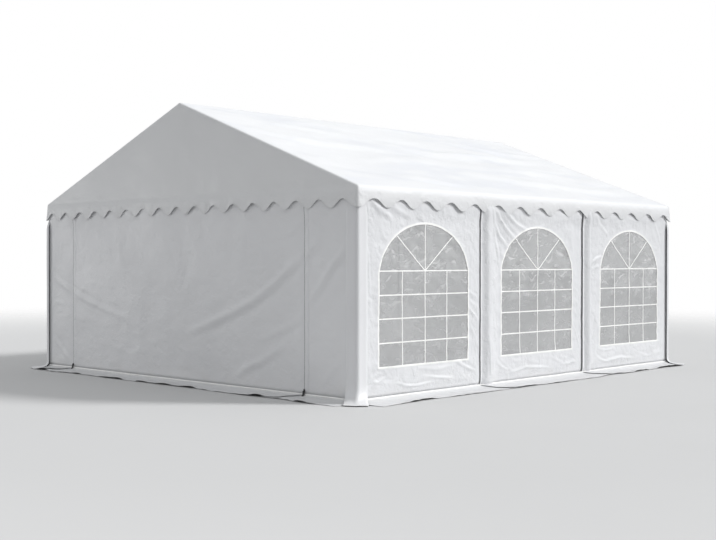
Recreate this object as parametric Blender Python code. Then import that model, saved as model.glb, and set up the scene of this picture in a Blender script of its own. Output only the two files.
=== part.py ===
"""Marquee tent: a gabled PVC cover, window walls and zipped gable walls on a tube frame of four arches.

X runs across the gables, Y along the ridge and Z up. The origin is on the ground under the middle of the tent.
"""

import math

import bmesh
import bpy
from mathutils import Matrix, Vector

# Overall sizes in metres
WIDTH = 5.0
LENGTH = 6.0
EAVE_HEIGHT = 2.0
RIDGE_HEIGHT = 3.0
BAY_LENGTH = 2.0

# Cover and walls
COVER = 0.004
GAP = 0.0003
VALANCE_NOTCH = 0.115
VALANCE_TIP = 0.2
SIDE_SCALLOPS = 15
GABLE_SCALLOPS = 17
POINTS_PER_SCALLOP = 8
WALL_INSET = 0.02
WALL_BOTTOM = 0.04
WALL_TOP = 1.99
SKIRT_REACH = 0.26
DOOR_WIDTH = 3.8
DOOR_OFFSET = -0.04

# Arched windows, one to a bay
WINDOW_HALF_WIDTH = 0.697
WINDOW_BOTTOM = 0.32
WINDOW_SPRING = 1.16
WINDOW_RISE = 0.505
FILM = 0.001
FILM_OVERLAP = 0.02
ARCH_STEPS = 24

# Tube frame
TUBE_RADIUS = 0.024
RAIL_RADIUS = 0.019
SOCKET_RADIUS = 0.026
SOCKET_LENGTH = 0.12
HUB_RADIUS = 0.029
TUBE_SIDES = 16
HUB_RINGS = 8
FOOT_SIZE = 0.12
FOOT_THICKNESS = 0.005

# Worked out from the sizes above
HALF_WIDTH = WIDTH / 2
HALF_LENGTH = LENGTH / 2
PITCH = math.atan2(RIDGE_HEIGHT - EAVE_HEIGHT, HALF_WIDTH)
SLOPE = math.tan(PITCH)
COVER_DROP = COVER / math.cos(PITCH)
GAP_DROP = GAP / math.cos(PITCH)
SIDE_WALL_OUTER = HALF_WIDTH - WALL_INSET
SIDE_WALL_INNER = SIDE_WALL_OUTER - COVER
END_WALL_OUTER = HALF_LENGTH - WALL_INSET
END_WALL_INNER = END_WALL_OUTER - COVER
LEG_X = SIDE_WALL_INNER - GAP - HUB_RADIUS
END_FRAME_Y = END_WALL_INNER - GAP - HUB_RADIUS
RAFTER_DROP = (COVER + GAP + HUB_RADIUS) / math.cos(PITCH)
APEX_Z = RIDGE_HEIGHT - RAFTER_DROP
EAVE_NODE_Z = APEX_Z - LEG_X * SLOPE
RAFTER_SPAN = LEG_X / math.cos(PITCH)
FRAME_Y = (-END_FRAME_Y, -BAY_LENGTH / 2, BAY_LENGTH / 2, END_FRAME_Y)
BAY_CENTRES = (-BAY_LENGTH, 0.0, BAY_LENGTH)
BAY_NAMES = ("1", "2", "3")
SIDES = (("left", -1), ("right", 1))


def clear_scene():
    for obj in list(bpy.data.objects):
        bpy.data.objects.remove(obj, do_unlink=True)


def material(name, colour, roughness, metallic=0.0, alpha=1.0):
    made = bpy.data.materials.new(name)
    made.use_nodes = True
    shader = made.node_tree.nodes["Principled BSDF"]
    shader.inputs["Base Color"].default_value = (*colour, 1.0)
    shader.inputs["Roughness"].default_value = roughness
    shader.inputs["Metallic"].default_value = metallic
    shader.inputs["Alpha"].default_value = alpha
    made.diffuse_color = (*colour, alpha)
    return made


def object_from(name, mesh_builder, surface, parent=None):
    """Makes the builder's closed mesh an object with its own material."""
    mesh = bpy.data.meshes.new(name)
    bmesh.ops.recalc_face_normals(mesh_builder, faces=mesh_builder.faces)
    mesh_builder.to_mesh(mesh)
    mesh_builder.free()
    mesh.materials.append(surface)
    obj = bpy.data.objects.new(name, mesh)
    bpy.context.scene.collection.objects.link(obj)
    obj.parent = parent
    return obj


def side_anchor(name, turn):
    """An empty whose local -Y axis points out of one side of the tent."""
    anchor = bpy.data.objects.new(name, None)
    anchor.rotation_euler = (0.0, 0.0, turn)
    bpy.context.scene.collection.objects.link(anchor)
    return anchor


def outline_slab(outline, thickness):
    """A flat outline in local XY, extruded up by its thickness."""
    builder = bmesh.new()
    corners = [builder.verts.new((x, y, 0.0)) for x, y in outline]
    face = builder.faces.new(corners)
    extruded = bmesh.ops.extrude_face_region(builder, geom=[face])
    moved = [item for item in extruded["geom"] if isinstance(item, bmesh.types.BMVert)]
    bmesh.ops.translate(builder, verts=moved, vec=(0.0, 0.0, thickness))
    return builder


def upright_sheet(name, outline, inner_distance, thickness, surface, side):
    """Stands an outline of (along, height) points on one side, its inner face at the given distance."""
    sheet = object_from(name, outline_slab(outline, thickness), surface, side)
    sheet.rotation_euler = (math.pi / 2, 0.0, 0.0)
    sheet.location = (0.0, -inner_distance, 0.0)
    return sheet


def rectangle(low_x, high_x, low_z, high_z):
    return [(low_x, low_z), (high_x, low_z), (high_x, high_z), (low_x, high_z)]


def scallop_height(along, half_run, scallops):
    """Height of the wavy hem: a cosine with its lowest points at both ends of the run."""
    wave = math.cos(math.pi * scallops * (along + half_run) / half_run)
    middle = EAVE_HEIGHT - (VALANCE_NOTCH + VALANCE_TIP) / 2
    return middle - wave * (VALANCE_TIP - VALANCE_NOTCH) / 2


def scalloped_hem(end, half_run, scallops):
    """Points of the hem from one end to the other."""
    steps = scallops * POINTS_PER_SCALLOP
    places = [-end + 2 * end * step / steps for step in range(steps + 1)]
    return [(place, scallop_height(place, half_run, scallops)) for place in places]


def arch_outline(centre, grow=0.0):
    """Window outline: straight jambs under a half ellipse, made larger all round by grow."""
    half = WINDOW_HALF_WIDTH + grow
    rise = WINDOW_RISE + grow
    points = [(centre - half, WINDOW_BOTTOM - grow), (centre + half, WINDOW_BOTTOM - grow)]
    for step in range(ARCH_STEPS + 1):
        angle = math.pi * step / ARCH_STEPS
        points.append((centre + half * math.cos(angle), WINDOW_SPRING + rise * math.sin(angle)))
    return points


def tube(start, end, radius):
    """A round bar between two points."""
    start = Vector(start)
    run = Vector(end) - start
    builder = bmesh.new()
    turn = run.to_track_quat("Z", "Y").to_matrix().to_4x4()
    bmesh.ops.create_cone(
        builder,
        cap_ends=True,
        segments=TUBE_SIDES,
        radius1=radius,
        radius2=radius,
        depth=run.length,
        matrix=Matrix.Translation(start + run / 2) @ turn,
    )
    return builder


def smooth_rounds(obj):
    obj.data.shade_smooth()
    obj.data.set_sharp_from_angle(angle=math.radians(40))


def helper(obj):
    """Keeps a cutter or a joined piece out of the finished scene."""
    obj.hide_render = True
    obj.display_type = "WIRE"


def join_pieces(base, builders, surface):
    """Joins the given bars into the base with one exact union."""
    pieces = bpy.data.collections.new(base.name + "_pieces")
    bpy.context.scene.collection.children.link(pieces)
    for index, builder in enumerate(builders):
        piece = object_from(f"{base.name}_piece_{index + 1}", builder, surface)
        bpy.context.scene.collection.objects.unlink(piece)
        pieces.objects.link(piece)
        helper(piece)
    union = base.modifiers.new("join sockets", "BOOLEAN")
    union.operation = "UNION"
    union.operand_type = "COLLECTION"
    union.collection = pieces
    union.solver = "EXACT"


def roof_slope(name, direction, surface):
    """One half of the roof, from its ridge edge down to the eave."""
    ridge_x = GAP / 2
    profile = [
        (ridge_x, RIDGE_HEIGHT - ridge_x * SLOPE),
        (HALF_WIDTH, EAVE_HEIGHT),
        (HALF_WIDTH, EAVE_HEIGHT - COVER_DROP),
        (ridge_x, RIDGE_HEIGHT - ridge_x * SLOPE - COVER_DROP),
    ]
    outline = [(direction * x, z) for x, z in profile]
    slope = object_from(name, outline_slab(outline, LENGTH), surface)
    slope.rotation_euler = (math.pi / 2, 0.0, 0.0)
    slope.location = (0.0, HALF_LENGTH, 0.0)


def side_valance(name, surface, side):
    """The scalloped strip that hangs from one eave."""
    end = HALF_LENGTH - COVER - GAP
    hem = scalloped_hem(end, HALF_LENGTH, SIDE_SCALLOPS)
    top = EAVE_HEIGHT - COVER_DROP - GAP_DROP
    outline = hem + [(end, top), (-end, top)]
    upright_sheet(name, outline, HALF_WIDTH - COVER, COVER, surface, side)


def gable(name, surface, side):
    """The triangle under the roof's end with its scalloped hem below."""
    hem = scalloped_hem(HALF_WIDTH, HALF_WIDTH, GABLE_SCALLOPS)
    drop = COVER_DROP + GAP_DROP
    outline = hem + [
        (HALF_WIDTH, EAVE_HEIGHT - drop),
        (0.0, RIDGE_HEIGHT - drop),
        (-HALF_WIDTH, EAVE_HEIGHT - drop),
    ]
    upright_sheet(name, outline, HALF_LENGTH - COVER, COVER, surface, side)


def gable_walls(face, surface, side):
    """Two wall strips and the zipped door curtain between them."""
    door_low = DOOR_OFFSET - DOOR_WIDTH / 2
    door_high = DOOR_OFFSET + DOOR_WIDTH / 2
    pieces = (
        (f"{face}_wall_strip_1", -SIDE_WALL_OUTER, door_low - GAP / 2),
        (f"{face}_door_curtain", door_low + GAP / 2, door_high - GAP / 2),
        (f"{face}_wall_strip_2", door_high + GAP / 2, SIDE_WALL_OUTER),
    )
    for name, low, high in pieces:
        outline = rectangle(low, high, WALL_BOTTOM, WALL_TOP)
        upright_sheet(name, outline, END_WALL_INNER, COVER, surface, side)


def window_bay(face, bay, centre, wall_surface, film_surface, side):
    """One wall panel with its arched opening, and the clear film welded behind it."""
    end = END_WALL_INNER - GAP
    low = max(centre - BAY_LENGTH / 2 + GAP / 2, -end)
    high = min(centre + BAY_LENGTH / 2 - GAP / 2, end)
    outline = rectangle(low, high, WALL_BOTTOM, WALL_TOP)
    name = f"{face}_window_wall_{bay}"
    wall = upright_sheet(name, outline, SIDE_WALL_INNER, COVER, wall_surface, side)
    cut_depth = 3 * COVER
    cutter = upright_sheet(
        name + "_cutter", arch_outline(centre), SIDE_WALL_INNER - COVER, cut_depth, wall_surface, side
    )
    helper(cutter)
    opening = wall.modifiers.new("window opening", "BOOLEAN")
    opening.operation = "DIFFERENCE"
    opening.object = cutter
    opening.solver = "EXACT"
    film_inner = SIDE_WALL_INNER - GAP - FILM
    film_outline = arch_outline(centre, FILM_OVERLAP)
    upright_sheet(f"{face}_window_film_{bay}", film_outline, film_inner, FILM, film_surface, side)


def ground_skirt(name, half_run, wall_outer, reach_end, surface, side):
    """The flap that slopes from the foot of the wall out to the ground."""
    profile = [
        (wall_outer + GAP, WALL_BOTTOM),
        (reach_end, 0.0),
        (reach_end, COVER),
        (wall_outer + GAP, WALL_BOTTOM + COVER),
    ]
    skirt = object_from(name, outline_slab(profile, 2 * half_run), surface, side)
    skirt.rotation_euler = (math.pi / 2, 0.0, -math.pi / 2)
    skirt.location = (half_run, 0.0, 0.0)


def leg(name, x, y, surface):
    """A round post that stands on a square foot plate."""
    top = EAVE_NODE_Z - SOCKET_LENGTH - GAP
    foot_middle = FOOT_THICKNESS / 2
    post = object_from(name, tube((x, y, foot_middle), (x, y, top), TUBE_RADIUS), surface)
    plate = bmesh.new()
    scale = Matrix.Diagonal((FOOT_SIZE, FOOT_SIZE, FOOT_THICKNESS, 1.0))
    bmesh.ops.create_cube(plate, size=1.0, matrix=Matrix.Translation((x, y, foot_middle)) @ scale)
    join_pieces(post, [plate], surface)
    smooth_rounds(post)


def up_slope(direction):
    """Unit vector from the eave towards the ridge on one side."""
    return Vector((-direction * math.cos(PITCH), 0.0, math.sin(PITCH)))


def hub(centre):
    """The ball that the sockets of one joint meet in."""
    builder = bmesh.new()
    place = Matrix.Translation(centre)
    bmesh.ops.create_uvsphere(
        builder, u_segments=TUBE_SIDES, v_segments=HUB_RINGS, radius=HUB_RADIUS, matrix=place
    )
    return builder


def joint_fitting(centre, directions):
    """A hub with one socket in each direction."""
    centre = Vector(centre)
    sockets = [tube(centre, centre + way * SOCKET_LENGTH, SOCKET_RADIUS) for way in directions]
    return [hub(centre), *sockets]


def rail_with_fittings(name, x, z, other_directions, surface):
    """A rail along Y with a fitting at each frame that also points in the other directions."""
    ends = (x, -END_FRAME_Y, z), (x, END_FRAME_Y, z)
    rail = object_from(name, tube(*ends, RAIL_RADIUS), surface)
    along = Vector((0.0, 1.0, 0.0))
    fittings = []
    for frame_y in FRAME_Y:
        directions = list(other_directions)
        if frame_y < END_FRAME_Y:
            directions.append(along)
        if frame_y > -END_FRAME_Y:
            directions.append(-along)
        fittings += joint_fitting((x, frame_y, z), directions)
    join_pieces(rail, fittings, surface)
    smooth_rounds(rail)


def eave_rail(name, direction, surface):
    """The rail along one eave with a socket for each leg and rafter."""
    down = Vector((0.0, 0.0, -1.0))
    rail_with_fittings(name, direction * LEG_X, EAVE_NODE_Z, (down, up_slope(direction)), surface)


def ridge_rail(name, surface):
    """The rail under the ridge with a pair of rafter sockets at each frame."""
    rail_with_fittings(name, 0.0, APEX_Z, (-up_slope(-1), -up_slope(1)), surface)


def rafter(name, direction, frame_y, surface):
    """The tube between an eave socket and a ridge socket."""
    node = Vector((direction * LEG_X, frame_y, EAVE_NODE_Z))
    slope = up_slope(direction)
    inset = SOCKET_LENGTH + GAP
    bar = tube(node + slope * inset, node + slope * (RAFTER_SPAN - inset), TUBE_RADIUS)
    smooth_rounds(object_from(name, bar, surface))


def build_frame(steel):
    ridge_rail("ridge_rail", steel)
    for face, direction in SIDES:
        eave_rail(f"{face}_eave_rail", direction, steel)
        for index, frame_y in enumerate(FRAME_Y):
            leg(f"{face}_leg_{index + 1}", direction * LEG_X, frame_y, steel)
            rafter(f"{face}_rafter_{index + 1}", direction, frame_y, steel)


def build_cover(roof_pvc, wall_pvc, film):
    sides = {
        "front": side_anchor("front_side", 0.0),
        "right": side_anchor("right_side", math.pi / 2),
        "back": side_anchor("back_side", math.pi),
        "left": side_anchor("left_side", -math.pi / 2),
    }
    for face, direction in SIDES:
        roof_slope(f"{face}_roof_slope", direction, roof_pvc)
        side_valance(f"{face}_valance", roof_pvc, sides[face])
        for bay, centre in zip(BAY_NAMES, BAY_CENTRES):
            window_bay(face, bay, centre, wall_pvc, film, sides[face])
        reach_end = SIDE_WALL_OUTER + SKIRT_REACH
        ground_skirt(f"{face}_ground_skirt", END_WALL_OUTER, SIDE_WALL_OUTER, reach_end, wall_pvc, sides[face])
    for face in ("front", "back"):
        gable(f"{face}_gable", roof_pvc, sides[face])
        gable_walls(face, wall_pvc, sides[face])
        reach_end = END_WALL_OUTER + SKIRT_REACH
        ground_skirt(f"{face}_ground_skirt", SIDE_WALL_OUTER, END_WALL_OUTER, reach_end, wall_pvc, sides[face])


def main():
    clear_scene()
    steel = material("galvanised steel", (0.55, 0.56, 0.57), 0.38, metallic=1.0)
    roof_pvc = material("roof pvc", (0.9, 0.9, 0.9), 0.5)
    wall_pvc = material("wall pvc", (0.86, 0.86, 0.88), 0.52)
    film = material("window film", (0.62, 0.64, 0.65), 0.25, alpha=0.45)
    build_frame(steel)
    build_cover(roof_pvc, wall_pvc, film)


main()
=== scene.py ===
import math

import bmesh
import bpy
import numpy as np
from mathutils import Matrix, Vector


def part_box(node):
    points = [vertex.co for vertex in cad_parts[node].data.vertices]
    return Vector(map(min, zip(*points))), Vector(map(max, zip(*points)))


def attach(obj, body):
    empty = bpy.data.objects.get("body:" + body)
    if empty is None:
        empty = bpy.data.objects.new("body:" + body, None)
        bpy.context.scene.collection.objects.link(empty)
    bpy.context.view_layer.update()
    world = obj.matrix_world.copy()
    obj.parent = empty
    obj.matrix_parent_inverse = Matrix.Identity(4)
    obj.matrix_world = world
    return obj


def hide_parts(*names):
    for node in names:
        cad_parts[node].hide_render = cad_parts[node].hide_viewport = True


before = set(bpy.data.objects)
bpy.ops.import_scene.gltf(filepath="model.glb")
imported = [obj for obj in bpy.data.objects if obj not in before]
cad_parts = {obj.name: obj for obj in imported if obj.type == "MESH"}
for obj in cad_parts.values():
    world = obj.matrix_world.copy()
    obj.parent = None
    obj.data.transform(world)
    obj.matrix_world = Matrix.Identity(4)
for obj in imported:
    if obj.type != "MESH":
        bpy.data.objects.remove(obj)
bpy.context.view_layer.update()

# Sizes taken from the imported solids, in metres
_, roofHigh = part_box("right_roof_slope")
sideWallLow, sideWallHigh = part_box("right_window_wall_2")
endWallLow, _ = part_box("front_door_curtain")
tent = {
    "halfWidth": roofHigh.x,
    "halfLength": roofHigh.y,
    "ridge": roofHigh.z,
    "eave": 2.0,
    "wallTop": sideWallHigh.z,
    "wallBottom": sideWallLow.z - 0.014,  # the cloth reaches a little lower than its solid
    "sideWallOut": sideWallHigh.x,
    "endWallOut": -endWallLow.y,
    "bay": 2.0,
    "arches": (-2.947, -1.0, 1.0, 2.947),
    "legInset": 0.053,
    "sheet": 0.002,
}
scene = bpy.context.scene


# Camera at the photograph's angle: the lens is the solved focal length over the frame's width
camera = {
    "frame": (716, 540),
    "focal": 1136.6,
    "middle": 240.0,
    "place": (9.2646, -10.8350, 1.3102),
    "yaw": 46.705,
    "tilt": -0.46,
    "sensor": 36.0,
}


def makeCamera():
    lens = bpy.data.cameras.new("camera")
    lens.sensor_fit = "HORIZONTAL"
    lens.sensor_width = camera["sensor"]
    lens.lens = camera["focal"] * camera["sensor"] / camera["frame"][0]
    lens.shift_x = (camera["frame"][0] / 2 - camera["middle"]) / camera["frame"][0]
    lens.clip_end = 500
    eye = bpy.data.objects.new("camera", lens)
    eye.location = camera["place"]
    eye.rotation_euler = (math.radians(90 + camera["tilt"]), 0, math.radians(camera["yaw"]))
    scene.collection.objects.link(eye)
    scene.camera = eye


makeCamera()
print("camera placed")


# Shader sums: a Link is one output, and arithmetic on it adds Math nodes
class Link:
    def __init__(self, paint, socket):
        self.paint = paint
        self.socket = socket

    def sum(self, operation, first, second):
        return self.paint.node("ShaderNodeMath", {"operation": operation}, {0: first, 1: second})

    def __add__(self, other):
        return self.sum("ADD", self, other)

    def __radd__(self, other):
        return self.sum("ADD", other, self)

    def __sub__(self, other):
        return self.sum("SUBTRACT", self, other)

    def __rsub__(self, other):
        return self.sum("SUBTRACT", other, self)

    def __mul__(self, other):
        return self.sum("MULTIPLY", self, other)

    def __rmul__(self, other):
        return self.sum("MULTIPLY", other, self)

    def __truediv__(self, other):
        return self.sum("DIVIDE", self, other)

    def __rtruediv__(self, other):
        return self.sum("DIVIDE", other, self)

    def __pow__(self, other):
        return self.sum("POWER", self, other)

    def ramp(self, low, high, start=0.0, end=1.0):
        inputs = {"Value": self, "From Min": low, "From Max": high, "To Min": start, "To Max": end}
        return self.paint.node("ShaderNodeMapRange", {"interpolation_type": "SMOOTHSTEP"}, inputs)


class Paint:
    def __init__(self, name):
        self.material = bpy.data.materials.new(name)
        self.material.use_nodes = True
        self.tree = self.material.node_tree
        self.tree.nodes.clear()

    def plug(self, socket, value):
        if isinstance(value, Link):
            self.tree.links.new(value.socket, socket)
        else:
            socket.default_value = value

    def node(self, kind, settings=None, inputs=None, output=0):
        made = self.tree.nodes.new(kind)
        for key, value in (settings or {}).items():
            setattr(made, key, value)
        for key, value in (inputs or {}).items():
            self.plug(made.inputs[key], value)
        return Link(self, made.outputs[output])

    def coordinates(self, name):
        return self.node("ShaderNodeTexCoord", output=name)

    def parts(self, vector):
        made = self.tree.nodes.new("ShaderNodeSeparateXYZ")
        self.plug(made.inputs[0], vector)
        return [Link(self, made.outputs[axis]) for axis in range(3)]

    def noise(self, vector, scale, detail=3.0, roughness=0.5, output="Fac"):
        inputs = {"Vector": vector, "Scale": scale, "Detail": detail, "Roughness": roughness}
        return self.node("ShaderNodeTexNoise", None, inputs, output)

    def blend(self, factor, first, second):
        return self.node("ShaderNodeMix", {"data_type": "RGBA"}, {0: factor, 6: first, 7: second}, 2)

    def wave(self, value, period):
        angle = value * (2 * math.pi / period)
        return self.node("ShaderNodeMath", {"operation": "SINE"}, {0: angle})

    def magnitude(self, value):
        return self.node("ShaderNodeMath", {"operation": "ABSOLUTE"}, {0: value})

    def stretched(self, vector, scales):
        return self.node("ShaderNodeVectorMath", {"operation": "MULTIPLY"}, {0: vector, 1: scales})

    def bent(self, vector, colour, reach):
        shift = self.node("ShaderNodeVectorMath", {"operation": "SCALE"}, {0: colour, "Scale": reach})
        return self.node("ShaderNodeVectorMath", {"operation": "ADD"}, {0: vector, 1: shift})

    def bump(self, height, strength, distance, normal=None):
        inputs = {"Height": height, "Strength": strength, "Distance": distance}
        if normal:
            inputs["Normal"] = normal
        return self.node("ShaderNodeBump", None, inputs)

    def shader(self, inputs):
        return self.node("ShaderNodeBsdfPrincipled", None, inputs)

    def finish(self, surface):
        out = self.tree.nodes.new("ShaderNodeOutputMaterial")
        self.tree.links.new(surface.socket, out.inputs["Surface"])
        return self.material


# A colour at full opacity, made lighter or darker by a share
def opaque(colour, share=1.0):
    return (*(part * share for part in colour), 1)


# Coated fabric: a plain scrim shows faintly through a soft lacquer
pvc = {
    "roof": (0.893, 0.900, 0.914),
    "wall": (0.845, 0.852, 0.872),
    # The end wall, sleeve and skirt colours are the white wall fabric made darker: painted shade
    "endWall": (0.800, 0.804, 0.820),
    "sleeve": (0.750, 0.755, 0.770),
    "skirt": (0.705, 0.710, 0.722),
    # shaded: painted shade for the cover's gables and for the valance below the eave
    "shaded": (0.805, 0.810, 0.820),
    "dust": (0.70, 0.68, 0.64),
    # drift: painted shade of the shaded fold streaks on the roof
    "drift": (0.825, 0.838, 0.872),
    "gableFrom": tent["halfLength"] - 0.020,
    "thread": 0.0032,
    "seam": 0.018,
    "seamSpacing": 1.0,
    "shares": {"cloud": 0.965, "dust": 0.22, "seam": 0.93, "drift": 0.9},
    "weaveBump": (0.28, 0.0006),
    "crinkleDepth": 0.03,
    "through": {"roof": 0.17, "wall": 0.20, "endWall": 0.13, "sleeve": 0.07, "skirt": 0.10},
    "glow": (0.86, 0.86, 0.84),
}


def fabricPaint(name, kind, seams=False, crinkles=0.0):
    paint = Paint(name)
    colour = pvc[kind]
    shares = pvc["shares"]
    u, v, _ = paint.parts(paint.coordinates("UV"))
    place = paint.coordinates("Object")
    _, alongY, height = paint.parts(place)
    weave = paint.wave(u, pvc["thread"]) * paint.wave(v, pvc["thread"])
    cloud = paint.noise(place, 1.3, 4.0, 0.55)
    speckle = paint.noise(place, 38.0, 3.0, 0.6)
    orange = paint.noise(place, 210.0, 2.0, 0.5)
    low = height.ramp(0.30, 0.02) * paint.noise(place, 5.0, 5.0, 0.65).ramp(0.35, 0.75)
    clean = paint.blend(cloud.ramp(0.3, 0.7), opaque(colour), opaque(colour, shares["cloud"]))
    dusty = paint.blend(low * shares["dust"], clean, opaque(pvc["dust"]))
    lift = weave * 0.35 + orange * 0.5 + speckle * 0.3
    if seams:
        inputs = {0: alongY + 1.0, 1: pvc["seamSpacing"]}
        offset = paint.node("ShaderNodeMath", {"operation": "PINGPONG"}, inputs)
        weld = offset.ramp(pvc["seam"], pvc["seam"] - 0.004)
        dusty = paint.blend(weld * 0.3, dusty, opaque(colour, shares["seam"]))
        lift = lift + weld * 1.6
        # Painted shade: long bluish streaks down the roof where its folds are shaded, and greyer cloth below
        # the eave and on the gables
        drawn = paint.stretched(place, (1, 0.30, 1))
        drift = paint.noise(drawn, 2.6, 3.0, 0.55).ramp(0.46, 0.66)
        dusty = paint.blend(drift * shares["drift"], dusty, opaque(pvc["drift"]))
        span = paint.magnitude(alongY)
        gable = span.ramp(pvc["gableFrom"] - 0.006, pvc["gableFrom"] + 0.006)
        hem = height.ramp(1.99, 1.92) * (1.0 - gable) * cloud.ramp(0.35, 0.65, 0.7, 1.0)
        dusty = paint.blend(gable + hem, dusty, opaque(pvc["shaded"]))
    rough = cloud.ramp(0.25, 0.75, 0.40, 0.52) + speckle * 0.06 - weave * 0.015
    normal = paint.bump(lift, *pvc["weaveBump"])
    if crinkles:
        bent = paint.bent(place, paint.noise(place, 17.0, 3.0, 0.6, "Color"), 0.05)
        field = paint.noise(bent, 9.0, 4.0, 0.55)
        relief = paint.magnitude(field - 0.5) + field * 0.4
        if seams:
            relief = relief * height.ramp(1.995, 1.94)
        normal = paint.bump(relief, crinkles, pvc["crinkleDepth"], normal)
    surface = paint.shader({
        "Base Color": dusty,
        "Roughness": rough,
        "Normal": normal,
        "Specular IOR Level": 0.45,
        "Coat Weight": speckle.ramp(0.3, 0.7, 0.04, 0.12),
        "Coat Roughness": 0.32,
    })
    glow = paint.node("ShaderNodeBsdfTranslucent", None, {"Color": opaque(pvc["glow"]), "Normal": normal})
    mixed = paint.node("ShaderNodeMixShader", None, {0: pvc["through"][kind], 1: surface, 2: glow})
    return paint.finish(mixed)


# Clear sheet: almost see-through, with a haze, and fine white crinkles and streaks painted in as glints
film = {
    "colour": (0.80, 0.805, 0.81),
    "glintWhite": (0.97, 0.97, 0.97),
    "mirror": (0.92, 0.93, 0.94),
    "haze": 0.32,
    "drift": 0.06,
    "crinkle": 0.26,
    "gloss": 0.05,
}


def filmPaint():
    paint = Paint("clear window film")
    place = paint.coordinates("Object")
    bent = paint.bent(place, paint.noise(place, 3.0, 2.0, 0.5, "Color"), 0.35)
    field = paint.noise(bent, 9.0, 3.0, 0.55)
    line = paint.magnitude(field - 0.5).ramp(0.014, 0.002)
    patch = paint.noise(place, 4.2, 2.0, 0.5).ramp(0.60, 0.74)
    cloud = paint.noise(place, 2.1, 3.0, 0.5)
    # Long level streaks of painted glint, more of them in the arch
    flat = paint.stretched(bent, (1, 1, 4.2))
    _, _, height = paint.parts(place)
    glintStreak = paint.noise(flat, 6.5, 2.0, 0.6).ramp(0.555, 0.69) * height.ramp(0.75, 1.25, 0.25, 1.0)
    # Painted glints: the crinkle lines and streaks whiten the film and make it less clear; the lines also
    # carry a real bump
    crinkle = line * patch * 0.7 + glintStreak * 0.55
    haze, drift = film["haze"], film["drift"]
    alpha = cloud.ramp(0.3, 0.7, haze * (1 - drift), haze * (1 + drift)) + crinkle * film["crinkle"]
    lift = line * 0.6 + paint.noise(place, 26.0, 2.0, 0.5) * 0.6
    normal = paint.bump(lift, 0.35, 0.004)
    surface = paint.shader({
        "Base Color": paint.blend(crinkle, opaque(film["colour"]), opaque(film["glintWhite"])),
        "Roughness": cloud.ramp(0.3, 0.7, 0.12, 0.22),
        "Specular IOR Level": 0.6,
        "Normal": normal,
        "Alpha": alpha,
    })
    mirror = paint.shader({
        "Base Color": opaque(film["mirror"]),
        "Metallic": 1.0,
        "Roughness": cloud.ramp(0.3, 0.7, 0.10, 0.18),
        "Normal": normal,
    })
    return paint.finish(paint.node("ShaderNodeMixShader", None, {0: film["gloss"], 1: surface, 2: mirror}))


# White strips welded on the film and round its opening
def stripPaint():
    paint = Paint("white window strip")
    _, v, _ = paint.parts(paint.coordinates("UV"))
    place = paint.coordinates("Object")
    grain = paint.noise(place, 160.0, 3.0, 0.55)
    cloud = paint.noise(place, 6.0, 3.0, 0.5)
    ribs = paint.wave(v, 0.0025)
    surface = paint.shader({
        "Base Color": paint.blend(cloud.ramp(0.35, 0.7), (0.93, 0.93, 0.915, 1), (0.90, 0.90, 0.88, 1)),
        "Roughness": 0.42 + grain * 0.12,
        "Normal": paint.bump(grain + ribs * 0.3, 0.25, 0.0005),
        "Coat Weight": cloud.ramp(0.3, 0.7, 0.05, 0.15),
        "Coat Roughness": 0.3,
    })
    return paint.finish(surface)


# Woven tape: ribs along it, with painted shade darker between the threads
def tapePaint(name, colour, rib=0.0021):
    paint = Paint(name)
    u, v, _ = paint.parts(paint.coordinates("UV"))
    place = paint.coordinates("Object")
    ribs = paint.wave(u, rib) * 0.5 + 0.5
    cross = paint.wave(v, rib * 1.4) * 0.5 + 0.5
    fuzz = paint.noise(place, 300.0, 4.0, 0.7)
    surface = paint.shader({
        # painted shade between the threads, mixed with a random fuzz
        "Base Color": paint.blend(ribs * 0.5 + fuzz * 0.5, opaque(colour, 0.62), opaque(colour)),
        "Roughness": 0.68 + fuzz * 0.25,
        "Normal": paint.bump(ribs + cross * 0.5 + fuzz * 0.4, 0.5, 0.0006),
        "Sheen Weight": 0.2,
    })
    return paint.finish(surface)


# Moulded plastic: slider and teeth
def plasticPaint(name, colour):
    paint = Paint(name)
    place = paint.coordinates("Object")
    grain = paint.noise(place, 420.0, 3.0, 0.6)
    wear = paint.noise(place, 35.0, 4.0, 0.6).ramp(0.5, 0.8)
    worn = [min(1, part * 1.5 + 0.04) for part in colour]
    surface = paint.shader({
        "Base Color": paint.blend(wear * 0.5, opaque(colour), opaque(worn)),
        "Roughness": 0.38 + grain * 0.2,
        "Normal": paint.bump(grain, 0.2, 0.0003),
    })
    return paint.finish(surface)


# Hot-dip zinc: crystal patches of slightly different grey and gloss
def steelPaint():
    paint = Paint("hot-dip galvanised steel")
    place = paint.coordinates("Object")
    cells = paint.node("ShaderNodeTexVoronoi", None, {"Vector": place, "Scale": 90.0}, "Color")
    tone, _, _ = paint.parts(cells)
    drift = paint.noise(place, 7.0, 4.0, 0.55)
    scratch = paint.noise(place, 260.0, 5.0, 0.7)
    chalk = paint.noise(place, 14.0, 5.0, 0.6).ramp(0.55, 0.8)
    spangle = tone * 0.55 + drift * 0.45
    bright = paint.blend(spangle, (0.42, 0.44, 0.46, 1), (0.66, 0.68, 0.70, 1))
    surface = paint.shader({
        "Base Color": paint.blend(chalk * 0.35, bright, (0.72, 0.73, 0.73, 1)),
        "Metallic": 1.0 - chalk * 0.45,
        "Roughness": tone * 0.16 + 0.34 + scratch * 0.08,
        "Normal": paint.bump(tone * 0.5 + scratch * 0.5, 0.18, 0.0004),
    })
    return paint.finish(surface)


# Floor: pale and matt, melting into the backdrop far from the tent
floor = {"radius": 40.0, "fade": (6.5, 20.0), "colour": (0.56, 0.56, 0.56), "rings": 48, "spokes": 96}


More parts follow.
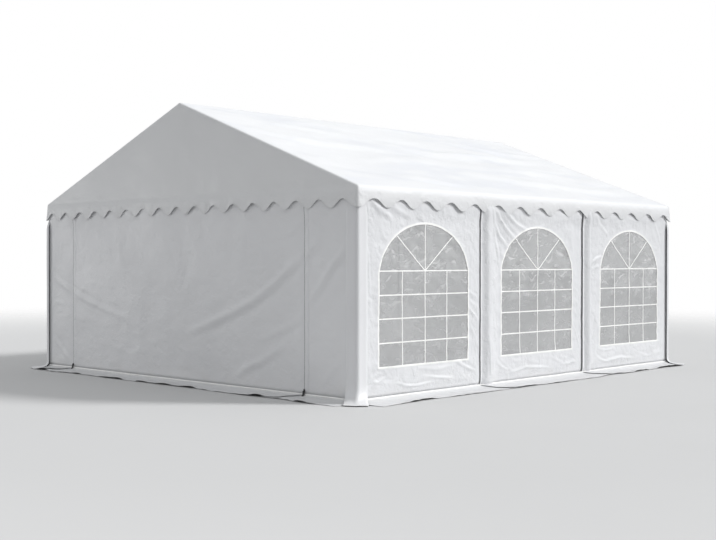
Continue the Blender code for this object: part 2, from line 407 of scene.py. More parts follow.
def floorPaint():
    paint = Paint("pale floor")
    place = paint.coordinates("Object")
    far = paint.node("ShaderNodeVectorMath", {"operation": "LENGTH"}, {0: place}, "Value")
    grain = paint.noise(place, 60.0, 3.0, 0.5)
    cloud = paint.noise(place, 0.6, 3.0, 0.5)
    surface = paint.shader({
        "Base Color": paint.blend(cloud, opaque(floor["colour"]), opaque(floor["colour"], 0.97)),
        "Roughness": 0.8 + grain * 0.1,
        "Specular IOR Level": 0.1,
        "Alpha": far.ramp(*floor["fade"], 1.0, 0.0),
    })
    return paint.finish(surface)


surfaces = {
    "roof": fabricPaint("white roof fabric", "roof", seams=True, crinkles=0.45),
    "wall": fabricPaint("white wall fabric", "wall", crinkles=0.50),
    "endWall": fabricPaint("end wall fabric darkened as painted shade", "endWall", crinkles=0.26),
    "sleeve": fabricPaint("sleeve fabric darkened as painted shade", "sleeve"),
    "skirt": fabricPaint("skirt fabric darkened as painted shade", "skirt", crinkles=0.20),
    "film": filmPaint(),
    "strip": stripPaint(),
    "tape": tapePaint("grey zip tape", (0.62, 0.62, 0.63)),
    "hook": tapePaint("hook and loop tape", (0.60, 0.60, 0.61), 0.003),
    "webbing": tapePaint("black webbing", (0.028, 0.028, 0.030)),
    "teeth": plasticPaint("zip teeth", (0.36, 0.36, 0.37)),
    "slider": plasticPaint("black slider", (0.022, 0.022, 0.024)),
    "steel": steelPaint(),
    "floor": floorPaint(),
}
print("materials made:", len(surfaces))


# Grids of points become meshes here
def quadsOf(rows, columns):
    index = np.arange(rows * columns).reshape(rows, columns)
    corners = (index[:-1, :-1], index[1:, :-1], index[1:, 1:], index[:-1, 1:])
    return np.stack(corners, axis=-1).reshape(-1, 4)


# The mean of a grid's cross products says which way it faces
def facing(points):
    down = np.diff(points, axis=0)[:, :-1]
    over = np.diff(points, axis=1)[:-1]
    return np.cross(down, over).reshape(-1, 3).sum(axis=0)


def makePiece(name, patches, surface, weld=1e-5):
    allPoints, allFaces, allUvs = [], [], []
    start = 0
    for points, uv, outward in patches:
        faces = quadsOf(*points.shape[:2])
        if np.dot(facing(points), outward) < 0:
            faces = faces[:, ::-1]
        allPoints.append(points.reshape(-1, 3))
        allUvs.append(uv.reshape(-1, 2))
        allFaces.append(faces + start)
        start += points.shape[0] * points.shape[1]
    points = np.concatenate(allPoints)
    faces = np.concatenate(allFaces)
    uvs = np.concatenate(allUvs)[faces.reshape(-1)]
    mesh = bpy.data.meshes.new(name)
    mesh.from_pydata(points.tolist(), [], faces.tolist())
    layer = mesh.uv_layers.new(name="UVMap")
    layer.data.foreach_set("uv", uvs.astype(np.float32).reshape(-1))
    builder = bmesh.new()
    builder.from_mesh(mesh)
    bmesh.ops.remove_doubles(builder, verts=builder.verts, dist=weld)
    builder.to_mesh(mesh)
    builder.free()
    mesh.materials.append(surface)
    piece = bpy.data.objects.new(name, mesh)
    scene.collection.objects.link(piece)
    return piece


# Applies what is on the piece and marks its real edges sharp
def settle(piece, sharp=50.0):
    bpy.context.view_layer.update()
    graph = bpy.context.evaluated_depsgraph_get()
    mesh = bpy.data.meshes.new_from_object(piece.evaluated_get(graph))
    piece.modifiers.clear()
    old = piece.data
    piece.data = mesh
    bpy.data.meshes.remove(old)
    mesh.name = piece.name
    mesh.shade_smooth()
    mesh.set_sharp_from_angle(angle=math.radians(sharp))
    return piece


def thicken(piece, thickness, offset=-1.0):
    solid = piece.modifiers.new("thickness", "SOLIDIFY")
    solid.thickness = thickness
    solid.offset = offset
    solid.use_even_offset = True
    return settle(piece)


# Joins finished objects into the first one
def joinAll(pieces, name):
    with bpy.context.temp_override(active_object=pieces[0], selected_editable_objects=pieces):
        bpy.ops.object.join()
    pieces[0].name = name
    pieces[0].data.name = name
    return pieces[0]


# Puts a piece on the root body and hides the solids that it stands for
def ready(piece, finish, *solids):
    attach(piece, "root")
    if solids:
        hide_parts(*solids)


def ease(value, low, high):
    share = np.clip((value - low) / (high - low), 0, 1)
    return share * share * (3 - 2 * share)


# A cubic curve through its first and last value, pulled towards the two between them
def cubic(share, first, second, third, last):
    rest = 1 - share
    return rest**3 * first + 3 * share * rest**2 * second + 3 * share**2 * rest * third + share**3 * last


lattice = 64


# Random heights on a whole-number lattice, joined by a fifth-order ease
def valueNoise(x, y, seed):
    table = np.random.default_rng(seed).uniform(-1, 1, (lattice, lattice))
    column = np.floor(x).astype(int)
    row = np.floor(y).astype(int)
    shareX = x - column
    shareY = y - row
    easeX = shareX**3 * (shareX * (shareX * 6 - 15) + 10)
    easeY = shareY**3 * (shareY * (shareY * 6 - 15) + 10)
    left, right = column % lattice, (column + 1) % lattice
    low, high = row % lattice, (row + 1) % lattice
    below = table[low, left] * (1 - easeX) + table[low, right] * easeX
    above = table[high, left] * (1 - easeX) + table[high, right] * easeX
    return below * (1 - easeY) + above * easeY


# Slow swells plus a net of soft creases, where a second noise passes through nought. Each crumple
# in the settings below is its size, the height of its swells and the height of its creases.
def crumple(x, y, seed, size, swell, crease):
    bendX = x + 0.35 * size * valueNoise(x / (1.7 * size), y / (1.7 * size), seed + 1)
    bendY = y + 0.35 * size * valueNoise(x / (1.7 * size), y / (1.7 * size), seed + 2)
    slow = valueNoise(bendX / size, bendY / size, seed + 3)
    slow = slow + 0.5 * valueNoise(bendX / (0.5 * size), bendY / (0.5 * size), seed + 4)
    net = valueNoise(bendX / (0.62 * size), bendY / (0.62 * size), seed + 5)
    fine = valueNoise(bendX / (0.27 * size), bendY / (0.27 * size), seed + 6)
    sharp = 0.45 - np.sqrt(net * net + 0.004) - 0.4 * np.sqrt(fine * fine + 0.006)
    return swell * slow + crease * sharp


# A fold is a path, a width and a height: a ridge across the path with a shallow trough on its left
def foldHeight(x, y, path, width, height):
    steps = np.array(path, float)
    lengths = np.hypot(*np.diff(steps, axis=0).T)
    before = np.concatenate([[0], np.cumsum(lengths)])
    nearest = np.full(np.shape(x), np.inf)
    across = np.zeros(np.shape(x))
    along = np.zeros(np.shape(x))
    for index, length in enumerate(lengths):
        startX, startY = steps[index]
        wayX, wayY = (steps[index + 1] - steps[index]) / length
        run = np.clip((x - startX) * wayX + (y - startY) * wayY, 0, length)
        offX = x - startX - run * wayX
        offY = y - startY - run * wayY
        distance = np.hypot(offX, offY)
        closer = distance < nearest
        side = np.sign(wayX * offY - wayY * offX)
        across = np.where(closer, side * distance, across)
        along = np.where(closer, before[index] + run, along)
        nearest = np.where(closer, distance, nearest)
    taper = np.sin(math.pi * np.clip(along / before[-1] * 0.94 + 0.03, 0, 1)) ** 0.6
    ridge = np.exp(-((across / width) ** 2))
    trough = np.exp(-(((across - 1.7 * width) / (1.4 * width)) ** 2))
    return height * taper * (ridge - 0.5 * trough)


def foldsHeight(x, y, folds, narrow=1.0):
    total = np.zeros(np.shape(x))
    for path, width, height in folds:
        total = total + foldHeight(x, y, path, narrow * width, height)
    return total


# The four sides: (along, out, height) in a side's own terms to world points
turns = {"front": 0, "right": 1, "back": 2, "left": 3}


def toWorld(side, along, out, height):
    angle = turns[side] * math.pi / 2
    along, out, height = np.broadcast_arrays(along, out, height)
    x = np.round(math.cos(angle)) * along + np.round(math.sin(angle)) * out
    y = np.round(math.sin(angle)) * along - np.round(math.cos(angle)) * out
    return np.stack([x, y, height], axis=-1)


def outwardOf(side):
    return toWorld(side, 0.0, 1.0, 0.0)


def pair(first, second):
    return np.stack(np.broadcast_arrays(first, second), axis=-1)


# A piece of cloth on one side, from a single grid of places along, outwards and up
def makeCloth(side, name, along, out, z, surface, thickness):
    patch = (toWorld(side, along, out, z), pair(along, z), outwardOf(side))
    return thicken(makePiece(name, [patch], surfaces[surface]), thickness)


# Cover: roof, scalloped valances and both gables in one sheet, drawn a little over the far end
cover = {
    "halfWidth": tent["halfWidth"] + 0.002,
    "halfLength": tent["halfLength"] + 0.002,
    "overhang": 0.032,
    "sideScallops": 15,
    "gableScallops": 17,
    "pointsPerScallop": 10,
    "notch": 0.112,
    "tip": 0.196,
    "edgeRadius": 0.028,
    "edgeSteps": (0.007, 0.017),
    "valanceRows": (0, 0.045, 0.10, 0.20, 0.34, 0.48, 0.62, 0.75, 0.86, 0.94, 1.0),
    "gableRows": 30,
    "flare": 0.004,
    "belly": 0.011,
    "cornerFlare": 0.012,
    "flutter": 0.0075,
    "sag": 0.014,
    "crumple": (0.26, 0.0085, 0.0050),
    "drawnOut": 2.6,
    "gableCrumple": (0.42, 0.0050, 0.0040),
    "hemCrumple": (0.16, 0.0018, 0.0018),
    "hemDrawnOut": 2.6,
    "folds": 2.5,
    "foldWidth": 1.9,
    "thickness": 0.0022,
}
# Long wrinkles on the right roof slope as (y, x) paths, read off the photograph
roofFolds = [
    ([(-2.75, 0.75), (-2.3, 0.97), (-1.9, 1.06), (-1.2, 1.14)], 0.045, 0.010),
    ([(-0.55, 0.82), (-0.1, 1.02), (1.07, 1.00), (2.30, 0.94)], 0.050, 0.011),
    ([(-1.95, 2.02), (-1.5, 2.20), (-1.0, 2.28)], 0.035, 0.007),
    ([(-0.30, 1.72), (0.62, 1.98), (1.66, 2.04), (2.60, 2.12)], 0.045, 0.009),
    ([(-2.05, 0.42), (-1.39, 0.58), (-0.9, 0.84)], 0.035, 0.007),
    ([(1.20, 0.40), (2.0, 0.62), (2.8, 0.70)], 0.040, 0.006),
    ([(0.10, 1.40), (1.1, 1.52), (2.2, 1.50)], 0.050, 0.006),
]


slope = (tent["ridge"] - tent["eave"]) / cover["halfWidth"]
pitch = math.atan(slope)


# Even steps along an edge, with closer ones beside each crease
def samples(half, count, middle):
    steps = np.array(cover["edgeSteps"])
    extra = np.concatenate([-half + steps, half - steps] + ([-steps, steps] if middle else []))
    even = np.linspace(-half, half, count + 1)
    close = np.abs(even[:, None] - extra[None, :]).min(axis=1) > 0.004
    return np.unique(np.round(np.concatenate([even[close], extra]), 6))


# How far the scallops of a side lie off their even places: at a share of its half length, in metres
hemShifts = {
    "long": (
        (-1.0, -0.90, -0.80, -0.62, -0.40, -0.20, 0.20, 0.60, 1.0),
        (0, 0.030, 0.020, -0.012, -0.012, 0.006, 0, -0.016, 0),
    ),
    "end": ((-1.0, -0.94, 0.94, 1.0), (0, -0.030, -0.030, 0)),
}


def hemHeight(along, half, scallops):
    places, shifts = hemShifts["long" if scallops == cover["sideScallops"] else "end"]
    moved = along - np.interp(along / half, places, shifts)
    wave = np.cos(math.pi * scallops * (moved + half) / half)
    middle = tent["eave"] - (cover["notch"] + cover["tip"]) / 2
    return middle - wave * (cover["tip"] - cover["notch"]) / 2


# Rounds every edge of the tent's outline: the nearest point of the outline drawn in by the
# radius, then out again by the radius. The way out is the surface's normal.
def roundOver(points):
    radius = cover["edgeRadius"]
    x = np.abs(points[..., 0])
    z = points[..., 2]
    wall = cover["halfWidth"] - radius
    apex = tent["ridge"] - radius / math.cos(pitch)
    eave = apex - slope * wall
    inside = (x <= wall) & (z <= apex - slope * x)
    wallZ = np.minimum(z, eave)
    span = math.hypot(wall, apex - eave)
    run = np.clip((x * wall + (apex - z) * (apex - eave)) / span, 0, span) / span
    slopeX = run * wall
    slopeZ = apex - run * (apex - eave)
    wallNearer = np.hypot(x - wall, z - wallZ) < np.hypot(x - slopeX, z - slopeZ)
    nearX = np.where(inside, x, np.where(wallNearer, wall, slopeX))
    nearZ = np.where(inside, z, np.where(wallNearer, wallZ, slopeZ))
    end = cover["halfLength"] - radius
    nearY = np.clip(points[..., 1], -end, end)
    near = np.stack([nearX * np.sign(points[..., 0] + 1e-12), nearY, nearZ], axis=-1)
    normal = points - near
    normal = normal / np.linalg.norm(normal, axis=-1, keepdims=True)
    return near + normal * radius, normal


# Heights over the roof: sag between the arches, long wrinkles and a crumple stretched along the ridge
def roofRelief(y, x, side):
    down = np.abs(x) / cover["halfWidth"]
    bayShare = np.where(np.abs(y) < 1, y + 1, np.abs(y) - 1) / tent["bay"]
    middle = np.sin(math.pi * bayShare) ** 2
    sag = -cover["sag"] * middle * np.sin(math.pi * down)
    folds = foldsHeight(y * side, x, roofFolds, cover["foldWidth"])
    seed = 100 if side > 0 else 140
    net = crumple(y / cover["drawnOut"], x / math.cos(pitch), seed, *cover["crumple"])
    edge = np.minimum(np.minimum(x, cover["halfWidth"] - x), cover["halfLength"] - np.abs(y))
    total = (sag + cover["folds"] * folds + net) * ease(edge, 0.0, 0.16)
    arch = np.min([np.abs(y - place) for place in tent["arches"]], axis=0)
    return np.where(total < 0, total * ease(arch, 0.02, 0.22), total)


# The gable's own creases, and soft ripples over the hem
def gableRelief(a, z, side):
    seed = 200 if side == "front" else 240
    top = tent["ridge"] - slope * np.abs(a)
    net = crumple(a, z, seed, *cover["gableCrumple"])
    sideways = crumple(a, z * cover["hemDrawnOut"], seed + 9, *cover["hemCrumple"])
    sideways = sideways * ease(2.25 - z, 0.0, 0.25)
    edge = np.minimum(top - z, cover["halfWidth"] - np.abs(a))
    return (net + sideways) * ease(edge, 0.0, 0.14)


# How far the valance stands off: a belly at half height, a hem that curls back, soft pleats that
# grow downwards, and corners that point out a little
def valanceFlare(along, z, half, seed):
    drop = np.clip((tent["eave"] - z) / cover["tip"], 0, 1.05)
    calm = ease(half - np.abs(along), 0.0, 0.18)
    waves = valueNoise(along / 0.23, drop * 0.6, seed) + 0.6 * valueNoise(along / 0.085, drop * 1.6, seed + 1)
    waves = waves + 0.35 * valueNoise(along / 0.036, drop * 3.0, seed + 2)
    moved = cover["flare"] * drop + calm * cover["belly"] * np.sin(math.pi * np.clip(drop, 0, 1))
    return moved + (1 - calm) * cover["cornerFlare"] * drop**1.5 + calm * drop * cover["flutter"] * waves


# The cover lies further over the frame at the back
def drawnOver(points):
    share = (points[..., 1] + cover["halfLength"]) / (2 * cover["halfLength"])
    shift = cover["overhang"] * np.clip(share, 0, None)
    return points + np.stack([0 * shift, shift, 0 * shift], axis=-1)


def valancePatch(side):
    long = side in ("left", "right")
    half = cover["halfLength"] if long else cover["halfWidth"]
    out = cover["halfWidth"] if long else cover["halfLength"]
    scallops = cover["sideScallops"] if long else cover["gableScallops"]
    along = samples(half, scallops * cover["pointsPerScallop"], not long)[None, :]
    share = np.array(cover["valanceRows"])[:, None]
    z = tent["eave"] - (tent["eave"] - hemHeight(along, half, scallops)) * share
    flat = toWorld(side, along, out, z)
    points, normal = roundOver(flat)
    seed = 300 + 20 * turns[side]
    away = valanceFlare(along, z, half, seed)
    if not long:
        away = away + gableRelief(along, z, side)
    uv = pair(along, z)
    return drawnOver(points + normal * away[..., None]), normal, uv


def coverPatches():
    yPlaces = samples(cover["halfLength"], cover["sideScallops"] * cover["pointsPerScallop"], False)
    xPlaces = samples(cover["halfWidth"], cover["gableScallops"] * cover["pointsPerScallop"], True)
    outX = xPlaces[xPlaces >= -1e-9]
    patches = []
    for direction in (-1, 1):
        x, y = np.meshgrid(outX, yPlaces, indexing="ij")
        flat = np.stack([direction * x, y, tent["ridge"] - slope * x], axis=-1)
        points, normal = roundOver(flat)
        points = points + normal * roofRelief(y, x, direction)[..., None]
        up = (direction * math.sin(pitch), 0, math.cos(pitch))
        patches.append((drawnOver(points), pair(y, direction * x / math.cos(pitch)), up))
    for side in ("front", "back"):
        rows = np.linspace(0, 1, cover["gableRows"] + 1)
        rows = np.concatenate([rows[:-2], [0.965, 0.984, 0.994, 1.0]])[:, None]
        a = xPlaces[None, :]
        z = tent["eave"] + (tent["ridge"] - slope * np.abs(a) - tent["eave"]) * rows
        flat = toWorld(side, a, cover["halfLength"], z)
        points, normal = roundOver(flat)
        points = points + normal * gableRelief(a, z, side)[..., None]
        patches.append((drawnOver(points), pair(a, z), outwardOf(side)))
    for side in turns:
        points, _, uv = valancePatch(side)
        patches.append((points, uv, outwardOf(side)))
    return patches


# Hem binding: a folded tape, carried along the hem as a small U
binding = {"height": 0.010, "stand": 0.0007, "thickness": 0.0007}


def bindingPatches():
    patches = []
    for side in turns:
        points, normal, uv = valancePatch(side)
        hem, above, out = points[-1], points[-3], normal[-1]
        down = hem - above
        down = down / np.linalg.norm(down, axis=-1, keepdims=True)
        thick = cover["thickness"] + binding["stand"]
        # The U's section as (stand-off, drop) points: down the outside, under the hem and up the inside
        shape = [(binding["stand"], -binding["height"]), (binding["stand"] * 1.5, -0.5 * binding["height"])]
        shape += [(binding["stand"], -0.002), (0.2 * binding["stand"], 0.0016), (-0.5 * thick, 0.0022)]
        shape += [(-thick - 0.0004, 0.0010), (-thick - 0.0006, -0.003), (-thick - 0.0004, -binding["height"])]
        grid = np.stack([hem + out * stand + down * drop for stand, drop in shape])
        drops = np.cumsum([0] + [math.dist(shape[i], shape[i + 1]) for i in range(len(shape) - 1)])
        patches.append((grid, pair(uv[-1][:, 0][None, :], drops[:, None]), outwardOf(side)))
    return patches


def makeCover():
    piece = makePiece("cover", coverPatches(), surfaces["roof"])
    thicken(piece, cover["thickness"])
    slopes, gables = ["left_roof_slope", "right_roof_slope"], ["front_gable", "back_gable"]
    ready(piece, "roof pvc", *slopes, "left_valance", "right_valance", *gables)
    tape = makePiece("cover_hem_binding", bindingPatches(), surfaces["roof"])
    thicken(tape, binding["thickness"], 1.0)
    ready(tape, "roof pvc")
    halfWidth, halfLength = cover["halfWidth"], cover["halfLength"]
    run = 2 * halfWidth / math.cos(pitch) + 2 * cover["tip"]
    rise = tent["ridge"] - tent["eave"] + cover["tip"]
    hemDrop = (cover["tip"] + cover["notch"]) / 2
    roofArea = 2 * halfLength * (2 * halfWidth / math.cos(pitch) + 2 * hemDrop)
    gableArea = 2 * (halfWidth * (tent["ridge"] - tent["eave"]) + 2 * halfWidth * hemDrop)
    blank = (run, 2 * halfLength + 2 * rise)
    area = roofArea + gableArea


makeCover()
print("cover made")


# Window walls: the panel runs round its arched opening; its left edge wraps the post
window = {
    "halfWidth": 0.697,
    "bottom": 0.32,
    "spring": 1.16,
    "rise": 0.505,
    "lap": 0.018,
    "border": 0.020,
    "bar": 0.0118,
    "barHeights": (1.214, 0.988, 0.766, 0.540),
    "barPlaces": (-0.3485, 0.0, 0.3485),
    "fanPlace": (0.43, 1.545),
    "filmDepth": 0.0026,
    "filmThickness": 0.0008,
    "filmCrumple": (0.24, 0.0010, 0.0014),
    "filmCreases": (0.085, 0.0005, 0.0012),
    "barThickness": 0.0009,
    "borderThickness": 0.0012,
    "borderLap": 0.004,
    "layers": {"level": 0.0006, "upright": 0.0010, "fan": 0.0014, "border": 0.0009, "sill": 0.0013},
}
panel = {
    "edges": ((-2.972, -1.080), (-1.069, 0.915), (0.928, 2.972)),
    "wraps": (
        {"lip": 0.012, "start": 0.028, "crest": 0.120, "end": 0.340, "early": 0.0, "bulge": 0.034},
        {"lip": 0.016, "start": 0.054, "crest": 0.146, "end": 0.176, "early": 1.0, "bulge": 0.034},
    ),
    "sections": (52, 80, 60, 80),
    "rings": 34,
    "billow": 0.008,
    "groove": 0.0120,
    "grooveHeight": 0.043,
    "grooveWidth": 0.017,
    "crumple": (0.30, 0.0030, 0.0045),
    "creases": (0.12, 0.0018, 0.0042),
    "seam": 0.030,
    "folds": 1.2,
    "foldWidth": 0.78,
    "inward": 0.007,
    "topOut": 0.011,
}
# Creases of each bay as (along from the bay's middle, height) paths, read off the photograph
bayFolds = (
    (
        ([(-0.87, 1.90), (-0.84, 1.80), (-0.79, 1.68)], 0.013, 0.0070),
        ([(-0.82, 1.92), (-0.74, 1.82), (-0.66, 1.75)], 0.020, 0.0070),
        ([(-0.76, 1.86), (-0.62, 1.76), (-0.48, 1.69)], 0.034, 0.0090),
        ([(-0.56, 1.88), (-0.42, 1.79), (-0.22, 1.73)], 0.030, 0.0060),
        ([(-0.90, 1.86), (-0.87, 1.60), (-0.85, 1.34)], 0.009, 0.0045),
        ([(-0.85, 1.56), (-0.82, 1.32), (-0.80, 1.02)], 0.012, 0.0050),
        ([(-0.66, 1.60), (-0.60, 1.52), (-0.52, 1.49)], 0.014, 0.0050),
        ([(-0.74, 1.46), (-0.69, 1.36), (-0.63, 1.32)], 0.014, 0.0045),
        ([(0.69, 1.24), (0.78, 1.19), (0.88, 1.12)], 0.014, 0.0060),
        ([(0.71, 1.01), (0.80, 0.97), (0.90, 0.93)], 0.014, 0.0090),
        ([(0.72, 0.93), (0.80, 0.88), (0.90, 0.83)], 0.013, 0.0095),
        ([(0.72, 0.84), (0.80, 0.78), (0.90, 0.70)], 0.016, 0.0105),
        ([(0.75, 0.66), (0.82, 0.58), (0.89, 0.46)], 0.014, 0.0060),
        ([(-0.89, 0.14), (-0.80, 0.22), (-0.70, 0.27)], 0.013, 0.0085),
        ([(-0.84, 0.12), (-0.70, 0.19), (-0.56, 0.23)], 0.014, 0.0080),
        ([(-0.83, 0.28), (-0.74, 0.20), (-0.66, 0.17)], 0.011, 0.0060),
        ([(-0.60, 0.31), (-0.55, 0.25), (-0.50, 0.20)], 0.014, 0.0070),
        ([(-0.40, 0.16), (-0.28, 0.12), (-0.10, 0.11), (0.12, 0.13)], 0.015, 0.0095),
        ([(0.00, 0.20), (0.20, 0.17), (0.46, 0.15)], 0.016, 0.0060),
        ([(-0.10, 0.28), (0.20, 0.25), (0.46, 0.27)], 0.022, 0.0050),
        ([(0.52, 0.31), (0.72, 0.23), (0.89, 0.18)], 0.018, 0.0085),
    ),
    (
        ([(-0.90, 1.93), (-0.84, 1.72), (-0.74, 1.58), (-0.54, 1.42)], 0.024, 0.0130),
        ([(-0.86, 1.93), (-0.72, 1.74), (-0.60, 1.64), (-0.40, 1.52)], 0.022, 0.0130),
        ([(-0.80, 1.94), (-0.58, 1.79), (-0.42, 1.70), (-0.20, 1.63)], 0.026, 0.0100),
        ([(-0.86, 1.72), (-0.81, 1.52), (-0.75, 1.36), (-0.71, 1.15)], 0.022, 0.0080),
        ([(-0.925, 0.05), (-0.930, 0.25), (-0.945, 0.55)], 0.017, 0.0200),
        ([(0.71, 1.02), (0.79, 0.98), (0.86, 0.95)], 0.012, 0.0045),
        ([(0.71, 0.91), (0.79, 0.86), (0.87, 0.80)], 0.014, 0.0060),
        ([(0.71, 0.78), (0.79, 0.72), (0.87, 0.65)], 0.014, 0.0055),
        ([(-0.80, 0.29), (-0.70, 0.21), (-0.58, 0.16)], 0.014, 0.0080),
        ([(-0.64, 0.25), (-0.54, 0.17), (-0.46, 0.13)], 0.013, 0.0065),
        ([(-0.60, 0.12), (-0.20, 0.17), (0.20, 0.14)], 0.018, 0.0060),
        ([(0.72, 0.60), (0.80, 0.50), (0.87, 0.36)], 0.013, 0.0055),
        ([(0.30, 0.24), (0.55, 0.15), (0.80, 0.18)], 0.020, 0.0035),
    ),
    (
        ([(-0.86, 1.28), (-0.78, 1.33), (-0.62, 1.37)], 0.015, 0.0150),
        ([(-0.86, 1.21), (-0.76, 1.245), (-0.67, 1.25)], 0.013, 0.0110),
        ([(-0.82, 1.90), (-0.70, 1.74), (-0.50, 1.62)], 0.024, 0.0060),
        ([(0.60, 1.86), (0.74, 1.66), (0.84, 1.50)], 0.024, 0.0045),
        ([(0.71, 0.73), (0.80, 0.66), (0.88, 0.60)], 0.014, 0.0050),
        ([(0.70, 0.60), (0.82, 0.55)], 0.014, 0.0040),
        ([(-0.66, 0.12), (-0.20, 0.16), (0.10, 0.13)], 0.020, 0.0060),
        ([(-0.80, 0.24), (-0.66, 0.16), (-0.50, 0.12)], 0.014, 0.0075),
        ([(-0.72, 0.29), (-0.52, 0.26), (-0.30, 0.28)], 0.014, 0.0055),
        ([(0.20, 0.20), (0.50, 0.13), (0.76, 0.19)], 0.018, 0.0035),
    ),
)
bayOrders = {"right": (0, 1, 2), "left": (2, 0, 1)}
bayMiddles = (-tent["bay"], 0.0, tent["bay"])
windowMiddles = (-1.982, 0.007, 2.028)


# The post's wrap: a lip at the slit, a crease, a rise to a crest and a fall back to the wall. An
# early rise is steepest at its start.
def wrapRelief(along, z, edge, shape):
    wander = 0.006 * np.sin(z * 3.1 + edge) + 0.003 * np.sin(z * 7.3)
    gone = along - edge - wander
    start, crest, end = shape["start"], shape["crest"], shape["end"]
    lip = shape["lip"] * (1 - ease(gone + wander, 0.002, start))
    share = np.clip((gone - start) / (crest - start), 0, 1)
    climb = shape["early"] * (1 - (1 - share) ** 2) + (1 - shape["early"]) * ease(share, 0.0, 1.0)
    return lip + shape["bulge"] * climb * (1 - ease(gone, crest, end))


# A groove just above the skirt's weld
def footGroove(z):
    return -panel["groove"] * np.exp(-(((z - panel["grooveHeight"]) / panel["grooveWidth"]) ** 2))


# Outward height of a side's cloth anywhere on its wall
def sideWallRelief(side, along, z):
    seed = 400 if side == "right" else 460
    total = crumple(along, z, seed, *panel["crumple"])
    total = total + crumple(along, z, seed + 17, *panel["creases"])
    for order, middle in zip(bayOrders[side], bayMiddles):
        total = total + panel["folds"] * foldsHeight(along - middle, z, bayFolds[order], panel["foldWidth"])
    hem = ease(z, 0.07, 0.15)
    top = 1 - 0.75 * ease(z, 1.80, 1.96)
    posts = np.min([np.abs(along - place) for place in tent["arches"]], axis=0)
    total = total * hem * top * ease(posts, 0.03, 0.12)
    total = np.maximum(total, -panel["inward"])
    total = total + panel["billow"] * ease(posts, 0.0, 0.35) * hem * top + footGroove(z)
    for (low, high), shape in zip(panel["edges"][1:], panel["wraps"]):
        near = (along > low - 0.001) & (along < low + 0.40)
        total = total + np.where(near, wrapRelief(along, z, low, shape), 0) * top
    return total + panel["topOut"] * ease(z, 1.68, 1.84)


# Points of the arched opening and of the panel's outline, section by section: sill, right side,
# top, left side
def ringOutlines(low, high, middle):
    half, bottom = window["halfWidth"], window["bottom"]
    spring, rise = window["spring"], window["rise"]
    corner = math.radians(52)
    sill, right, top, left = (np.linspace(0, 1, count + 1)[:-1] for count in panel["sections"])

    def arch(angle):
        return pair(middle + half * np.cos(angle), spring + rise * np.sin(angle))

    def upSide(share):
        jamb = spring - bottom
        curve = rise * corner
        walked = share * (jamb + curve)
        straight = pair(middle + half, bottom + np.minimum(walked, jamb))
        bent = arch(np.clip((walked - jamb) / rise, 0, corner))
        return np.where((walked < jamb)[:, None], straight, bent)

    inner = np.concatenate([
        pair(middle - half + 2 * half * sill, bottom),
        upSide(right),
        arch(corner + (math.pi - 2 * corner) * top),
        upSide(1 - left) * (-1, 1) + (2 * middle, 0),
    ])
    bottomZ, topZ = tent["wallBottom"], tent["wallTop"]
    outer = np.concatenate([
        pair(low + (high - low) * sill, bottomZ),
        pair(high, bottomZ + (topZ - bottomZ) * right),
        pair(high + (low - high) * top, topZ),
        pair(low, topZ + (bottomZ - topZ) * left),
    ])
    return inner, outer


def archTop(offset, grow=0.0):
    half = window["halfWidth"] + grow
    share = np.clip(offset / half, -1, 1)
    return window["spring"] + (window["rise"] + grow) * np.sqrt(1 - share * share)


def makeWindowWall(side, bay):
    low, high = panel["edges"][bay]
    middle = windowMiddles[bay]
    inner, outer = ringOutlines(low, high, middle)
    inner = np.concatenate([inner, inner[:1]])
    outer = np.concatenate([outer, outer[:1]])
    share = np.linspace(0, 1, panel["rings"] + 1)
    share = (share + 0.25 * np.sin(share * math.pi) / math.pi)[:, None, None]
    place = inner[None] * (1 - share) + outer[None] * share
    along, z = place[..., 0], place[..., 1]
    out = tent["sideWallOut"] + sideWallRelief(side, along, z)
    piece = makeCloth(side, f"{side}_window_panel_{bay + 1}", along, out, z, "wall", tent["sheet"])
    ready(piece, "wall pvc", f"{side}_window_wall_{bay + 1}")
    width, height = high - low + 2 * panel["seam"], tent["wallTop"] - tent["wallBottom"]
    hole = 2 * window["halfWidth"] * (window["spring"] - window["bottom"])
    hole = hole + math.pi / 2 * window["halfWidth"] * window["rise"]
    area = width * height - hole


# Film ripples fade out at the welded edge
def filmRelief(side, along, z, middle):
    base = sideWallRelief(side, along, z)
    offset = along - middle
    jamb = window["halfWidth"] - np.abs(offset)
    edge = np.minimum(jamb, np.minimum(z - window["bottom"], archTop(offset) - z))
    seed = 500 + int(10 * (middle + 3)) + (40 if side == "left" else 0)
    own = crumple(along, z, seed, *window["filmCrumple"])
    own = own + crumple(along, z * 1.9, seed + 7, *window["filmCreases"])
    inner = ease(edge, 0.0, 0.12)
    return base * (1 - 0.4 * inner) + own * inner


def makeFilm(side, bay):
    middle = windowMiddles[bay]
    grow = window["lap"]
    half = window["halfWidth"] + grow
    across = -half * np.cos(np.linspace(0, math.pi, 57))
    offset = across[None, :]
    low = window["bottom"] - grow
    z = low + (archTop(offset, grow) - low) * np.linspace(0, 1, 57)[:, None]
    along = middle + offset + 0 * z
    out = tent["sideWallOut"] - window["filmDepth"] + filmRelief(side, along, z, middle)
    thickness = window["filmThickness"]
    piece = makeCloth(side, f"{side}_clear_film_{bay + 1}", along, out, z, "film", thickness)
    ready(piece, "window film", f"{side}_window_film_{bay + 1}")
    return piece


